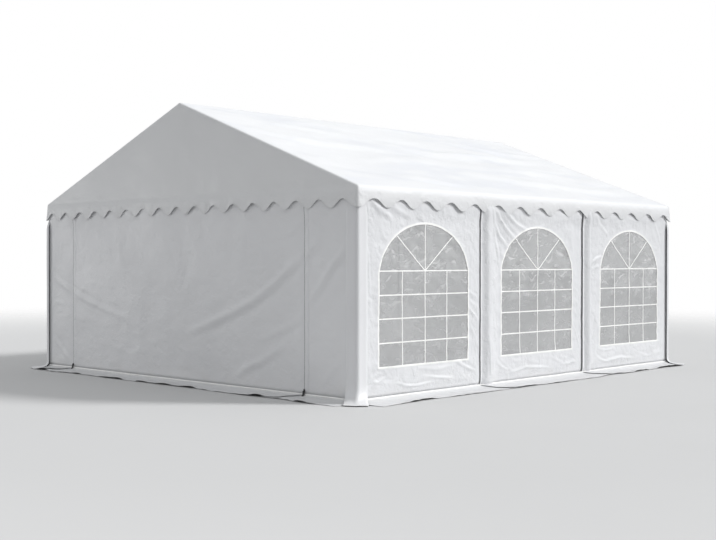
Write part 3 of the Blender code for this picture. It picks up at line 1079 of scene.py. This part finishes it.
# A flat strip along a path on the film: rows across it, columns along it
def stripGrid(side, path, width, lift, middle, onWall=False):
    steps = np.array(path, float)
    way = np.gradient(steps, axis=0)
    way = way / np.linalg.norm(way, axis=1, keepdims=True)
    across = np.stack([-way[:, 1], way[:, 0]], axis=1)
    shares = np.array([-0.5, -0.42, 0.0, 0.42, 0.5])
    crowns = np.array([0.0, 0.0004, 0.0006, 0.0004, 0.0])
    place = steps[None] + across[None] * (shares * width)[:, None, None]
    along, z = place[..., 0], place[..., 1]
    if onWall:
        out = tent["sideWallOut"] + sideWallRelief(side, along, z)
    else:
        out = tent["sideWallOut"] - window["filmDepth"] + filmRelief(side, along, z, middle)
    points = toWorld(side, along, out + lift + crowns[:, None], z)
    run = np.concatenate([[0], np.cumsum(np.linalg.norm(np.diff(steps, axis=0), axis=1))])
    return points, pair(run[None, :], (shares * width)[:, None]), outwardOf(side)


def line(start, end, count=40):
    share = np.linspace(0, 1, count)[:, None]
    return np.array(start) * (1 - share) + np.array(end) * share


def barPaths(middle):
    half, bottom = window["halfWidth"], window["bottom"]
    knot = window["barHeights"][0]
    fanX, fanZ = window["fanPlace"]
    level = [line((middle - half, z), (middle + half, z)) for z in window["barHeights"]]
    upright = [line((middle + place, bottom), (middle + place, knot)) for place in window["barPlaces"]]
    upright.append(line((middle, knot), (middle, archTop(0.0)), 20))
    fan = [line((middle, knot), (middle + side * fanX, fanZ), 28) for side in (-1, 1)]
    return level, upright, fan


def borderPath(middle, grow):
    half = window["halfWidth"] + grow
    bottom = window["bottom"] - grow
    angles = np.linspace(0, math.pi, 61)
    curve = pair(middle + half * np.cos(angles), window["spring"] + (window["rise"] + grow) * np.sin(angles))
    right = line((middle + half, bottom), (middle + half, window["spring"]), 34)[:-1]
    left = line((middle - half, window["spring"]), (middle - half, bottom), 34)[1:]
    return np.concatenate([right, curve, left])


def makeBars(side, bay, filmPiece):
    middle = windowMiddles[bay]
    layers = window["layers"]
    patches = []
    for paths, layer in zip(barPaths(middle), ("level", "upright", "fan")):
        patches += [stripGrid(side, path, window["bar"], layers[layer], middle) for path in paths]
    bars = makePiece(f"{side}_window_bars_{bay + 1}", patches, surfaces["strip"], 1e-7)
    thicken(bars, window["barThickness"])
    grow = window["border"] / 2 - window["borderLap"]
    half = window["halfWidth"] + window["border"] - window["borderLap"]
    sill = line((middle - half, window["bottom"] - grow), (middle + half, window["bottom"] - grow), 60)
    frames = [
        stripGrid(side, borderPath(middle, grow), window["border"], layers["border"], middle, True),
        stripGrid(side, sill, window["border"], layers["sill"], middle, True),
    ]
    border = makePiece(f"{side}_window_border_{bay + 1}", frames, surfaces["strip"], 1e-7)
    thicken(border, window["borderThickness"])
    for piece in (bars, border):
        ready(piece, "wall pvc")
    width = 2 * (window["halfWidth"] + window["lap"])
    area = width * (window["spring"] - window["bottom"] + window["lap"])
    area = area + math.pi / 4 * width * (window["rise"] + window["lap"])


for wallSide in ("right", "left"):
    for wallBay in range(3):
        makeWindowWall(wallSide, wallBay)
        makeBars(wallSide, wallBay, makeFilm(wallSide, wallBay))
    print(wallSide, "window walls made")


# End walls: two strips and a door curtain between zips, with one run of swags over all three
endWall = {
    "columnWidth": 0.027,
    "rows": 66,
    "footRows": (0.112, 0.099, 0.088, 0.079, 0.071, 0.063, 0.055, 0.047, 0.037, 0.026),
    "zips": (-1.971, 1.822),
    "zipGap": 0.0011,
    "crumple": (0.40, 0.0040, 0.0034),
    "creases": (0.15, 0.0012, 0.0024),
    "zipCalm": (0.65, 0.06),
    "zipPull": (0.0035, 0.03),
    "folds": 0.90,
    "foldWidth": 0.72,
    "inward": 0.008,
}
mainSwag = [(2.02, 1.50), (1.85, 1.38), (1.61, 1.22), (1.39, 1.06), (1.10, 0.90), (0.81, 0.78), (0.12, 0.54)]
# Swags and creases as (along, height) paths, each with its width and height, read off the photograph
endFolds = [
    (mainSwag, 0.050, 0.020),
    ([(2.42, 1.46), (2.16, 1.24), (2.01, 1.05), (1.86, 0.90)], 0.045, 0.016),
    ([(1.92, 1.72), (1.61, 1.57), (1.30, 1.53)], 0.032, 0.010),
    ([(1.84, 0.80), (1.61, 0.67), (1.25, 0.53)], 0.038, 0.010),
    ([(1.56, 0.48), (1.22, 0.31), (1.02, 0.23), (0.78, 0.08)], 0.042, 0.012),
    ([(2.30, 0.40), (2.03, 0.13)], 0.028, 0.007),
    ([(-2.50, 1.16), (-1.99, 0.95), (-1.67, 0.84), (-1.31, 0.75), (-0.88, 0.66)], 0.036, 0.012),
    ([(-2.46, 0.44), (-2.25, 0.28), (-2.02, 0.10)], 0.030, 0.009),
    ([(2.42, 1.60), (2.28, 1.37), (2.08, 1.16)], 0.030, 0.009),
    ([(0.08, 1.28), (-0.04, 1.02)], 0.030, 0.004),
    ([(0.19, 1.06), (0.30, 0.80)], 0.030, 0.005),
    ([(-2.40, 0.79), (-2.26, 0.81), (-2.08, 0.79)], 0.016, 0.005),
    ([(-2.42, 0.70), (-2.26, 0.72), (-2.10, 0.70)], 0.016, 0.005),
    ([(-1.90, 0.62), (-1.70, 0.66), (-1.50, 0.60)], 0.018, 0.004),
    ([(-1.88, 0.52), (-1.72, 0.56), (-1.58, 0.50)], 0.018, 0.004),
    ([(1.95, 0.92), (2.12, 0.90), (2.32, 0.93)], 0.018, 0.005),
    ([(1.96, 0.62), (2.12, 0.60), (2.34, 0.63)], 0.018, 0.005),
    ([(1.40, 0.90), (1.62, 0.93), (1.80, 0.90)], 0.018, 0.004),
    ([(-0.20, 0.44), (0.10, 0.36), (0.50, 0.40)], 0.026, 0.004),
    ([(-1.20, 0.34), (-0.90, 0.28), (-0.55, 0.33)], 0.026, 0.004),
]


def endWallRelief(side, along, z):
    seed = 600 if side == "front" else 640
    total = crumple(along, z, seed, *endWall["crumple"])
    total = total + crumple(along, z * 2.2, seed + 11, *endWall["creases"])
    total = total + endWall["folds"] * foldsHeight(along, z, endFolds, endWall["foldWidth"])
    hem = ease(z, 0.07, 0.16)
    top = 1 - 0.7 * ease(z, 1.80, 1.96)
    zips = np.min([np.abs(along - place) for place in endWall["zips"]], axis=0)
    share, reach = endWall["zipCalm"]
    calm = 1 - share * np.exp(-((zips / reach) ** 2))
    depth, reach = endWall["zipPull"]
    pull = -depth * np.exp(-((zips / reach) ** 2))
    posts = tent["halfWidth"] - tent["legInset"] - np.abs(along)
    total = (total * calm + pull) * hem * top * ease(np.abs(posts), 0.03, 0.10)
    return np.maximum(total, -endWall["inward"]) + footGroove(z) + panel["topOut"] * ease(z, 1.68, 1.84)


def makeEndWall(side, name, low, high):
    columns = int(round((high - low) / endWall["columnWidth"]))
    along = np.linspace(low, high, columns + 1)[None, :]
    upper = np.linspace(tent["wallTop"], endWall["footRows"][0], endWall["rows"])[:-1]
    z = np.concatenate([upper, endWall["footRows"]])[:, None]
    out = tent["endWallOut"] + endWallRelief(side, along + 0 * z, z + 0 * along)
    piece = makeCloth(side, f"{side}_{name}_cloth", along, out, z, "endWall", tent["sheet"])
    ready(piece, "wall pvc", f"{side}_{name}")
    return piece, (high - low, tent["wallTop"] - tent["wallBottom"])


# Zip: a tape behind the gap, two rows of teeth, a slider with a webbing pull, and a rain flap beside it
zipper = {
    "tape": 0.040,
    "tapeDepth": 0.0048,
    "tapeThickness": 0.001,
    "tooth": (0.0042, 0.0022, 0.0026),
    "toothOffset": 0.0016,
    "toothDepth": 0.001,
    "pitch": 0.010,
    "flap": (0.0030, 0.052),
    "flapLifts": (0.0006, 0.0022, 0.0026, 0.0020, 0.0018, 0.0012),
    "flapThickness": 0.0011,
    "slider": (0.009, 0.005, 0.014),
    "sliderHeight": 0.077,
    "bridge": (0.0035, 0.0045, 0.009),
    "pull": (0.026, 0.052),
    "pullThickness": 0.0018,
    "swing": 0.022,
}


# Rounded block: a sphere whose cosines and sines are raised to a power
def roundedBlock(centre, half, power, rows=9, columns=16):
    tilt = np.linspace(-math.pi / 2, math.pi / 2, rows)[:, None]
    turn = np.linspace(0, 2 * math.pi, columns + 1)[None, :]

    def soft(value):
        return np.sign(value) * np.abs(value) ** power

    x = soft(np.cos(tilt)) * soft(np.cos(turn)) * half[0]
    y = soft(np.cos(tilt)) * soft(np.sin(turn)) * half[1]
    z = soft(np.sin(tilt)) * half[2] + 0 * turn
    return centre[0] + x, centre[1] + y, centre[2] + z


# Teeth: four rings each, the first and last drawn together, in two rows half a pitch apart
def toothPatches(side, seamAt):
    count = int((tent["wallTop"] - tent["wallBottom"] - 0.05) / zipper["pitch"])
    z = tent["wallBottom"] + 0.03 + np.arange(count) * zipper["pitch"]
    halfX, halfOut, halfZ = zipper["tooth"]
    corners = np.array([(-1, -1), (1, -1), (1, 1), (-1, 1), (-1, -1)], float)
    patches = []
    for row in (-1, 1):
        middle = seamAt + row * zipper["toothOffset"]
        out = tent["endWallOut"] - zipper["toothDepth"] + endWallRelief(side, np.full(count, seamAt), z)
        heights = z + (0.5 + 0.5 * row) * zipper["pitch"] / 2
        ends = np.array([-1.0, -1.0, 1.0, 1.0])
        widths = np.array([0.0, 1.0, 1.0, 0.0])
        along = middle + halfX * widths[:, None] * corners[None, :, 0]
        depth = halfOut * widths[:, None] * corners[None, :, 1]
        for place, high in zip(out, heights):
            points = toWorld(side, along, place + depth, high + halfZ * ends[:, None])
            patches.append((points, pair(along, depth), outwardOf(side)))
    return patches


def makeZip(side, index, seamAt):
    z = np.linspace(tent["wallTop"] - 0.01, tent["wallBottom"] + 0.012, 80)[:, None]
    along = seamAt + np.linspace(-0.5, 0.5, 7)[None, :] * zipper["tape"]
    out = tent["endWallOut"] - zipper["tapeDepth"] + endWallRelief(side, along + 0 * z, z + 0 * along)
    tape = makeCloth(side, f"{side}_zip_tape_{index}", along, out, z, "tape", zipper["tapeThickness"])
    teeth = makePiece(f"{side}_zip_teeth_{index}", toothPatches(side, seamAt), surfaces["teeth"], 1e-6)
    low, high = zipper["flap"]
    steps = [low, low + 0.002, low + 0.006, 0.5 * (low + high), high - 0.004, high]
    flapAlong = seamAt + np.array(steps)[None, :]
    lift = np.array(zipper["flapLifts"])[None, :]
    flapZ = np.linspace(tent["wallTop"], tent["wallBottom"] + 0.05, 80)[:, None]
    flapOut = tent["endWallOut"] + lift + endWallRelief(side, flapAlong + 0 * flapZ, flapZ + 0 * flapAlong)
    thickness = zipper["flapThickness"]
    flap = makeCloth(side, f"{side}_zip_flap_{index}", flapAlong, flapOut, flapZ, "wall", thickness)
    made = [tape, teeth, flap, makeSlider(side, index, seamAt)]
    for piece in made:
        ready(piece, "wall pvc")
    return made


def makeSlider(side, index, seamAt):
    height = zipper["sliderHeight"]
    face = tent["endWallOut"] + 0.004
    body = roundedBlock((seamAt, face, height), zipper["slider"], 0.55)
    bridge = roundedBlock((seamAt, face + 0.006, height), zipper["bridge"], 0.5)
    width, length = zipper["pull"]
    drop = np.linspace(0, 1, 26)[:, None]
    across = np.linspace(-0.5, 0.5, 7)[None, :] * width
    swing = face + 0.0085 + zipper["swing"] * drop**3 + 0 * across
    strap = toWorld(side, seamAt + across, swing, height - 0.004 - drop * length)
    patches = []
    for x, out, z in (body, bridge):
        patches.append((toWorld(side, x, out, z), pair(x, z), outwardOf(side)))
    shell = makePiece(f"{side}_slider_shell_{index}", patches, surfaces["slider"], 1e-6)
    rebuildNormals(shell)
    patch = (strap, pair(across, drop * length), outwardOf(side))
    webbing = makePiece(f"{side}_slider_pull_{index}", [patch], surfaces["webbing"])
    thicken(webbing, zipper["pullThickness"])
    settle(shell)
    return joinAll([shell, webbing], f"{side}_zip_slider_{index}")


# Closed blocks get their faces turned outwards
def rebuildNormals(piece):
    builder = bmesh.new()
    builder.from_mesh(piece.data)
    bmesh.ops.recalc_face_normals(builder, faces=builder.faces)
    builder.to_mesh(piece.data)
    builder.free()


def makeEnd(side):
    gap = endWall["zipGap"]
    edge = tent["sideWallOut"] - 0.004
    left, right = endWall["zips"]
    pieces = {}
    for name, low, high in (
        ("wall_strip_1", -edge, left - gap),
        ("door_curtain", left + gap, right - gap),
        ("wall_strip_2", right + gap, edge),
    ):
        pieces[name] = makeEndWall(side, name, low, high)
    zips = makeZip(side, 1, left) + makeZip(side, 2, right)
    for name, (piece, flat) in pieces.items():
        extra = zips if name == "door_curtain" else []


for wallSide in ("front", "back"):
    makeEnd(wallSide)
    print(wallSide, "end wall made")


# Corner sleeves: an L-shaped strip that wraps the corner post and spreads into a foot on the ground.
# "widths" is how far it reaches along each wall, "stand" how far it stands off at the post, and
# "ends" how far at its two ends.
corner = {
    "radius": 0.018,
    "top": 1.985,
    "rows": 46,
    "footRows": 20,
    "footHandle": 0.42,
    "footDip": 0.010,
    "footEnd": 0.0085,
    "tucked": 0.011,
    "tuckHeights": (1.70, 1.84),
    "softness": 0.0022,
    "ripple": 0.004,
    "cutLength": 2.1,
    "thickness": 0.0026,
}
wideFoot = {"bend": 0.205, "start": (-0.007, 0.186), "end": (0.163, 0.026), "bow": 0.014, "ease": 0.42}
openFoot = {"bend": 0.085, "start": (-0.007, 0.225), "end": (0.235, -0.010), "bow": 0.050, "ease": 0.20}
closed = {"widths": (0.118, 0.122), "ends": (0.0035, 0.0030), "stand": 0.018, "foot": wideFoot}
opened = {"widths": (0.003, 0.120), "ends": (0.024, 0.0015), "stand": 0.050, "foot": openFoot}
mirrored = {**opened, "widths": opened["widths"][::-1], "ends": opened["ends"][::-1]}
corners = (
    (("front", "right"), "right_leg_1", closed),
    (("right", "back"), "right_leg_4", opened),
    (("back", "left"), "left_leg_4", closed),
    (("left", "front"), "left_leg_1", mirrored),
)


def wallOutOf(side):
    return tent["sideWallOut"] if side in ("left", "right") else tent["endWallOut"]


# Plan of a sleeve: along one wall, round a quarter circle, along the next; with the angle it has turned
def cornerPlan(first, second, widths):
    reach, out = wallOutOf(second), wallOutOf(first)
    radius = corner["radius"]
    before = np.linspace(reach - radius - widths[0], reach - radius, 12)
    turn = np.linspace(0, math.pi / 2, 13)
    after = np.linspace(0, widths[1], 12)[1:]
    along = np.concatenate([before[:-1], reach - radius + radius * np.sin(turn), np.full(len(after), reach)])
    place = np.concatenate([np.full(11, out), out - radius + radius * np.cos(turn), out - radius - after])
    turned = np.concatenate([np.zeros(11), turn, np.full(len(after), math.pi / 2)])
    return along, place, turned


# Seen in section the foot is a cubic curve: it leaves the post downwards and lands flat
def footCurve(share, foot):
    away = cubic(share, 0, 0, foot["ease"], 1)
    bend = foot["bend"]
    return away, cubic(share, bend, corner["footHandle"] * bend, corner["footDip"], corner["footEnd"])


def makeCorner(number, walls, post, shape):
    first, second = walls
    along, place, turn = cornerPlan(first, second, shape["widths"])
    run = np.concatenate([[0], np.cumsum(np.hypot(np.diff(along), np.diff(place)))])
    share = run / run[-1]
    foot = shape["foot"]
    upright = np.linspace(corner["top"], foot["bend"], corner["rows"])[:-1, None]
    away, fall = footCurve(np.linspace(0, 1, corner["footRows"])[:, None], foot)
    height = np.concatenate([upright + 0 * share, fall + 0 * share])
    spread = np.concatenate([0 * upright + 0 * share, away + 0 * share])
    # Stand-off: small at each end, full over the post, and drawn in under the valance
    stand = np.full(len(run), shape["stand"])
    for gone, end in ((run, shape["ends"][0]), (run[-1] - run, shape["ends"][1])):
        stand = np.minimum(stand, end + (shape["stand"] - end) * ease(gone, 0.0, 0.030))
    tight = 1 - (1 - corner["tucked"] / shape["stand"]) * ease(height, *corner["tuckHeights"])
    seed = 700 + 10 * number
    soft = corner["softness"] * valueNoise(run[None, :] / 0.06, height / 0.45, seed)
    soft = soft * ease(shape["stand"] - stand, 0.02, 0.0)
    off = stand[None, :] * tight + soft * tight
    low = np.array([wallOutOf(second), wallOutOf(first)])
    startAlong, startOut = low + foot["start"]
    endAlong, endOut = low + foot["end"]
    bow = foot["bow"] * np.sin(math.pi * share)
    targetAlong = startAlong + (endAlong - startAlong) * share + bow
    targetOut = startOut + (endOut - startOut) * share + bow
    planAlong = along[None, :] + np.sin(turn) * off
    planOut = place[None, :] + np.cos(turn) * off
    planAlong = planAlong + (targetAlong - planAlong) * spread
    planOut = planOut + (targetOut - planOut) * spread
    ripple = corner["ripple"] * valueNoise(share[None, :] / 0.21, height / 0.5, seed + 1)
    ripple = np.clip(ripple * ease(spread, 0.02, 0.3), -0.5 * corner["ripple"], corner["ripple"])
    points = toWorld(first, planAlong, planOut, height + ripple)
    patch = (points, pair(run[None, :], height), outwardOf(first) + outwardOf(second))
    piece = makePiece(f"{first}_{second}_corner_sleeve", [patch], surfaces["sleeve"])
    thicken(piece, corner["thickness"])
    ready(piece, "wall pvc")
    # The plan is that of the wall, and a quarter turn at the stand-off adds its arc
    width = run[-1] + math.pi / 2 * shape["stand"]


for cornerNumber, cornerFacts in enumerate(corners):
    makeCorner(cornerNumber, *cornerFacts)
print("corner sleeves made")


# Hook tape at the bottom of each slit, behind the cloth; its grey is partly the tape's own and partly painted
# shade for the slit
slits = {"places": ((-1.104, -1.050), (0.900, 0.956)), "depth": 0.008, "dish": 0.002, "thickness": 0.0012}


def makeSlitTape(side, index, low, high):
    z = np.linspace(tent["wallTop"] - 0.02, 0.03, 60)[:, None]
    along = np.linspace(low, high, 7)[None, :]
    dish = slits["dish"] * np.cos(np.linspace(-1, 1, 7) * math.pi / 2)[None, :]
    out = tent["sideWallOut"] - slits["depth"] + dish + 0 * z
    name = f"{side}_slit_tape_{index + 1}"
    ready(makeCloth(side, name, along, out, z, "hook", slits["thickness"]), "wall pvc")


for wallSide in ("right", "left"):
    for slitIndex, (slitLow, slitHigh) in enumerate(slits["places"]):
        makeSlitTape(wallSide, slitIndex, slitLow, slitHigh)
print("slit tapes made")


# Ground skirts: welded to the foot of each wall, bending out to lie on the ground. Each is cut in
# lengths that overlap: a length has its two ends at the wall, how far each end slants on its way
# out, and how far each end is raised by lying on its neighbour.
skirt = {
    "top": 0.034,
    "stand": 0.0010,
    "reach": 0.238,
    "columnWidth": 0.024,
    "rows": 20,
    "thickness": 0.0022,
    "raise": 0.0100,
    "bead": 0.0065,
    "beadWidth": 0.016,
    "beadArc": (-0.45, 0.62),
    "beadStand": 0.0015,
    "beadRise": 0.004,
    "beadWander": 0.0012,
    "beadThickness": 0.0010,
    "curl": 0.018,
    "lift": 0.0060,
    "pucker": 0.0085,
    "edgeWander": (0.020, 0.009),
    "aways": (0.022, 0.050),
    "heights": (0.030, 0.001, 0.0035),
    "cutWidth": 0.27,
}
skirtLengths = {
    "long": (
        {"ends": (-2.980, -1.000), "slants": (0.060, 0.260), "raised": (0, 0)},
        {"ends": (-1.066, 1.010), "slants": (0.250, 0.260), "raised": (1, 0)},
        {"ends": (0.934, 2.980), "slants": (0.250, -0.020), "raised": (1, 0)},
    ),
    "end": (
        {"ends": (-2.480, -1.955), "slants": (-0.010, -0.290), "raised": (0, 1)},
        {"ends": (-1.990, 1.822), "slants": (-0.200, -0.270), "raised": (0, 1)},
        {"ends": (1.740, 2.480), "slants": (-0.270, -0.060), "raised": (0, 0)},
    ),
}


# In section a cubic curve: a quick slope off the wall, then flat
def skirtCurve(share, reach):
    return cubic(share, 0, *skirt["aways"], reach), cubic(share, skirt["top"], *skirt["heights"])


def skirtPatch(side, length, seed):
    half = tent["endWallOut"] if side in ("left", "right") else tent["sideWallOut"]
    low, high = length["ends"]
    columns = int(round((high - low) / skirt["columnWidth"]))
    across = np.linspace(0, 1, columns + 1)[None, :]
    share = (np.linspace(0, 1, skirt["rows"] + 1)[:, None]) ** 0.85
    slant = length["slants"][0] * (1 - across) + length["slants"][1] * across
    along = low + (high - low) * across + slant * share**1.5
    calm = ease(half - np.abs(along), 0.02, 0.22)
    slow, quick = skirt["edgeWander"]
    reach = skirt["reach"] + slow * valueNoise(along / 0.42, 0 * along, seed)
    reach = reach + quick * valueNoise(along / 0.10, 0 * along, seed + 1)
    away, height = skirtCurve(share, reach)
    wave = share * 1.5
    pucker = 0.55 * valueNoise(along / 0.16, wave, seed + 2) + 0.45 * valueNoise(along / 0.07, wave, seed + 3)
    lift = ease(share, 0.35, 0.80) * (skirt["lift"] + skirt["pucker"] * pucker) * (0.2 + 0.8 * calm)
    curl = ease(share, 0.72, 1.0) * np.clip(valueNoise(along / 0.20, 0 * along, seed + 4), 0, 1)
    curl = skirt["curl"] * calm * curl
    raised = length["raised"][0] * (1 - ease(across * (high - low), 0.10, 0.60))
    raised = raised + length["raised"][1] * (1 - ease((1 - across) * (high - low), 0.10, 0.60))
    height = np.maximum(height + lift + curl, 0.0026) + raised * skirt["raise"] * ease(share, 0.0, 0.25)
    out = wallOutOf(side) + away + skirt["stand"] + 0.0030 * pucker * ease(share, 0.05, 0.35)
    out = out + raised * 0.0030
    return toWorld(side, along, out, height), pair(along, share * 0.29), outwardOf(side) + (0, 0, 1)


# The rope in the skirt's welded edge: half a circle in section, standing on the wall
def beadPatch(side, length):
    low, high = length["ends"]
    along = np.linspace(low, high, int(round((high - low) / skirt["columnWidth"])) + 1)[None, :]
    angle = np.linspace(*skirt["beadArc"], 9)[:, None] * math.pi
    height = skirt["top"] + skirt["beadRise"] + 0.5 * skirt["beadWidth"] * np.sin(angle) + 0 * along
    wander = skirt["beadWander"] * valueNoise(along / 0.21, 0 * along, 830 + turns[side])
    out = wallOutOf(side) + skirt["beadStand"] + skirt["bead"] * np.clip(np.cos(angle), 0, 1) + 0 * along
    height = height + wander
    return toWorld(side, along, out, height), pair(along, angle * 0.008), outwardOf(side)


def makeSkirt(side):
    kind = "long" if side in ("left", "right") else "end"
    seed = 800 + 20 * turns[side]
    lengths = skirtLengths[kind]
    patches = [skirtPatch(side, length, seed) for length in lengths]
    piece = makePiece(f"{side}_skirt_cloth", patches, surfaces["skirt"], 1e-7)
    thicken(piece, skirt["thickness"])
    beads = [beadPatch(side, length) for length in lengths]
    weld = makePiece(f"{side}_skirt_bead", beads, surfaces["strip"], 1e-7)
    thicken(weld, skirt["beadThickness"])
    ready(weld, "wall pvc")
    ready(piece, "wall pvc", f"{side}_ground_skirt")
    total = sum(length["ends"][1] - length["ends"][0] for length in lengths)


for wallSide in turns:
    makeSkirt(wallSide)
print("skirts made")


# The frame keeps its solids and gets zinc
for nodeName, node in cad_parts.items():
    kind = nodeName.split("_")[-1] if nodeName.endswith("rail") else nodeName.split("_")[1]
    if kind in ("rail", "leg", "rafter"):
        for materialSlot in node.material_slots:
            materialSlot.material = surfaces["steel"]
print("steel finished")


# Floor: a disc of rings and spokes
def makeFloor():
    radius = np.linspace(0, 1, floor["rings"])[:, None] ** 2 * floor["radius"]
    angle = np.linspace(0, 2 * math.pi, floor["spokes"] + 1)[None, :]
    points = np.stack([radius * np.cos(angle), radius * np.sin(angle), 0 * radius + 0 * angle], axis=-1)
    piece = makePiece("floor", [(points, pair(radius, angle), (0, 0, 1))], surfaces["floor"], 1e-4)
    piece.data.shade_smooth()


makeFloor()

# Light: one broad sun from the right and a little behind, a sky that brightens to the zenith, a
# low fill that rakes the gable from its far side, and a soft panel beyond the far end for the film
light = {
    "toSun": (0.60, 0.55, 0.58),
    "strength": 2.88,
    "softness": 12.0,
    "horizon": 0.25,
    "zenith": 0.93,
    "sky": (0.97, 0.985, 1.0),
    "backdrop": (1.0, 1.0, 1.0),
    "boards": {
        "panel": {"place": (11.5, 15.0, 2.6), "size": (7.0, 3.6), "power": 70.0},
        "fill": {"place": (-14.0, -10.0, 2.0), "size": (4.0, 3.0), "power": 315.0},
    },
    "aim": 1.0,  # the height on the tent's axis that the boards face
}


def makeWorld():
    world = bpy.data.worlds.new("studio")
    world.use_nodes = True
    tree = world.node_tree
    tree.nodes.clear()

    def add(kind, settings=None, inputs=None):
        made = tree.nodes.new(kind)
        for key, value in (settings or {}).items():
            setattr(made, key, value)
        for key, value in (inputs or {}).items():
            if isinstance(value, bpy.types.NodeSocket):
                tree.links.new(value, made.inputs[key])
            else:
                made.inputs[key].default_value = value
        return made.outputs

    direction = add("ShaderNodeSeparateXYZ", None, {0: add("ShaderNodeTexCoord")["Generated"]})
    limits = {"From Min": 0.0, "From Max": 1.0, "To Min": light["horizon"], "To Max": light["zenith"]}
    strength = add("ShaderNodeMapRange", None, {"Value": direction["Z"], **limits})["Result"]
    cast = add("ShaderNodeBackground", None, {"Color": opaque(light["sky"]), "Strength": strength})[0]
    seen = add("ShaderNodeBackground", None, {"Color": opaque(light["backdrop"])})[0]
    ray = add("ShaderNodeLightPath")["Is Camera Ray"]
    mixed = add("ShaderNodeMixShader", None, {0: ray, 1: cast, 2: seen})[0]
    add("ShaderNodeOutputWorld", None, {"Surface": mixed})
    scene.world = world
    scene.view_settings.view_transform = "Standard"


def makeLamps():
    sun = bpy.data.lights.new("key", "SUN")
    sun.energy = light["strength"]
    sun.angle = math.radians(light["softness"])
    lamp = bpy.data.objects.new("key", sun)
    x, y, z = light["toSun"]
    lamp.rotation_euler = (math.atan2(math.hypot(x, y), z), 0, math.atan2(y, x) + math.pi / 2)
    scene.collection.objects.link(lamp)
    for name, facts in light["boards"].items():
        glow = bpy.data.lights.new(name, "AREA")
        glow.shape = "RECTANGLE"
        glow.size, glow.size_y = facts["size"]
        glow.energy = facts["power"]
        board = bpy.data.objects.new(name, glow)
        board.location = facts["place"]
        x, y, z = board.location
        lean = math.atan2(math.hypot(x, y), z - light["aim"])
        board.rotation_euler = (lean, 0, math.atan2(y, x) + math.pi / 2)
        scene.collection.objects.link(board)


makeWorld()
makeLamps()
print("light made")
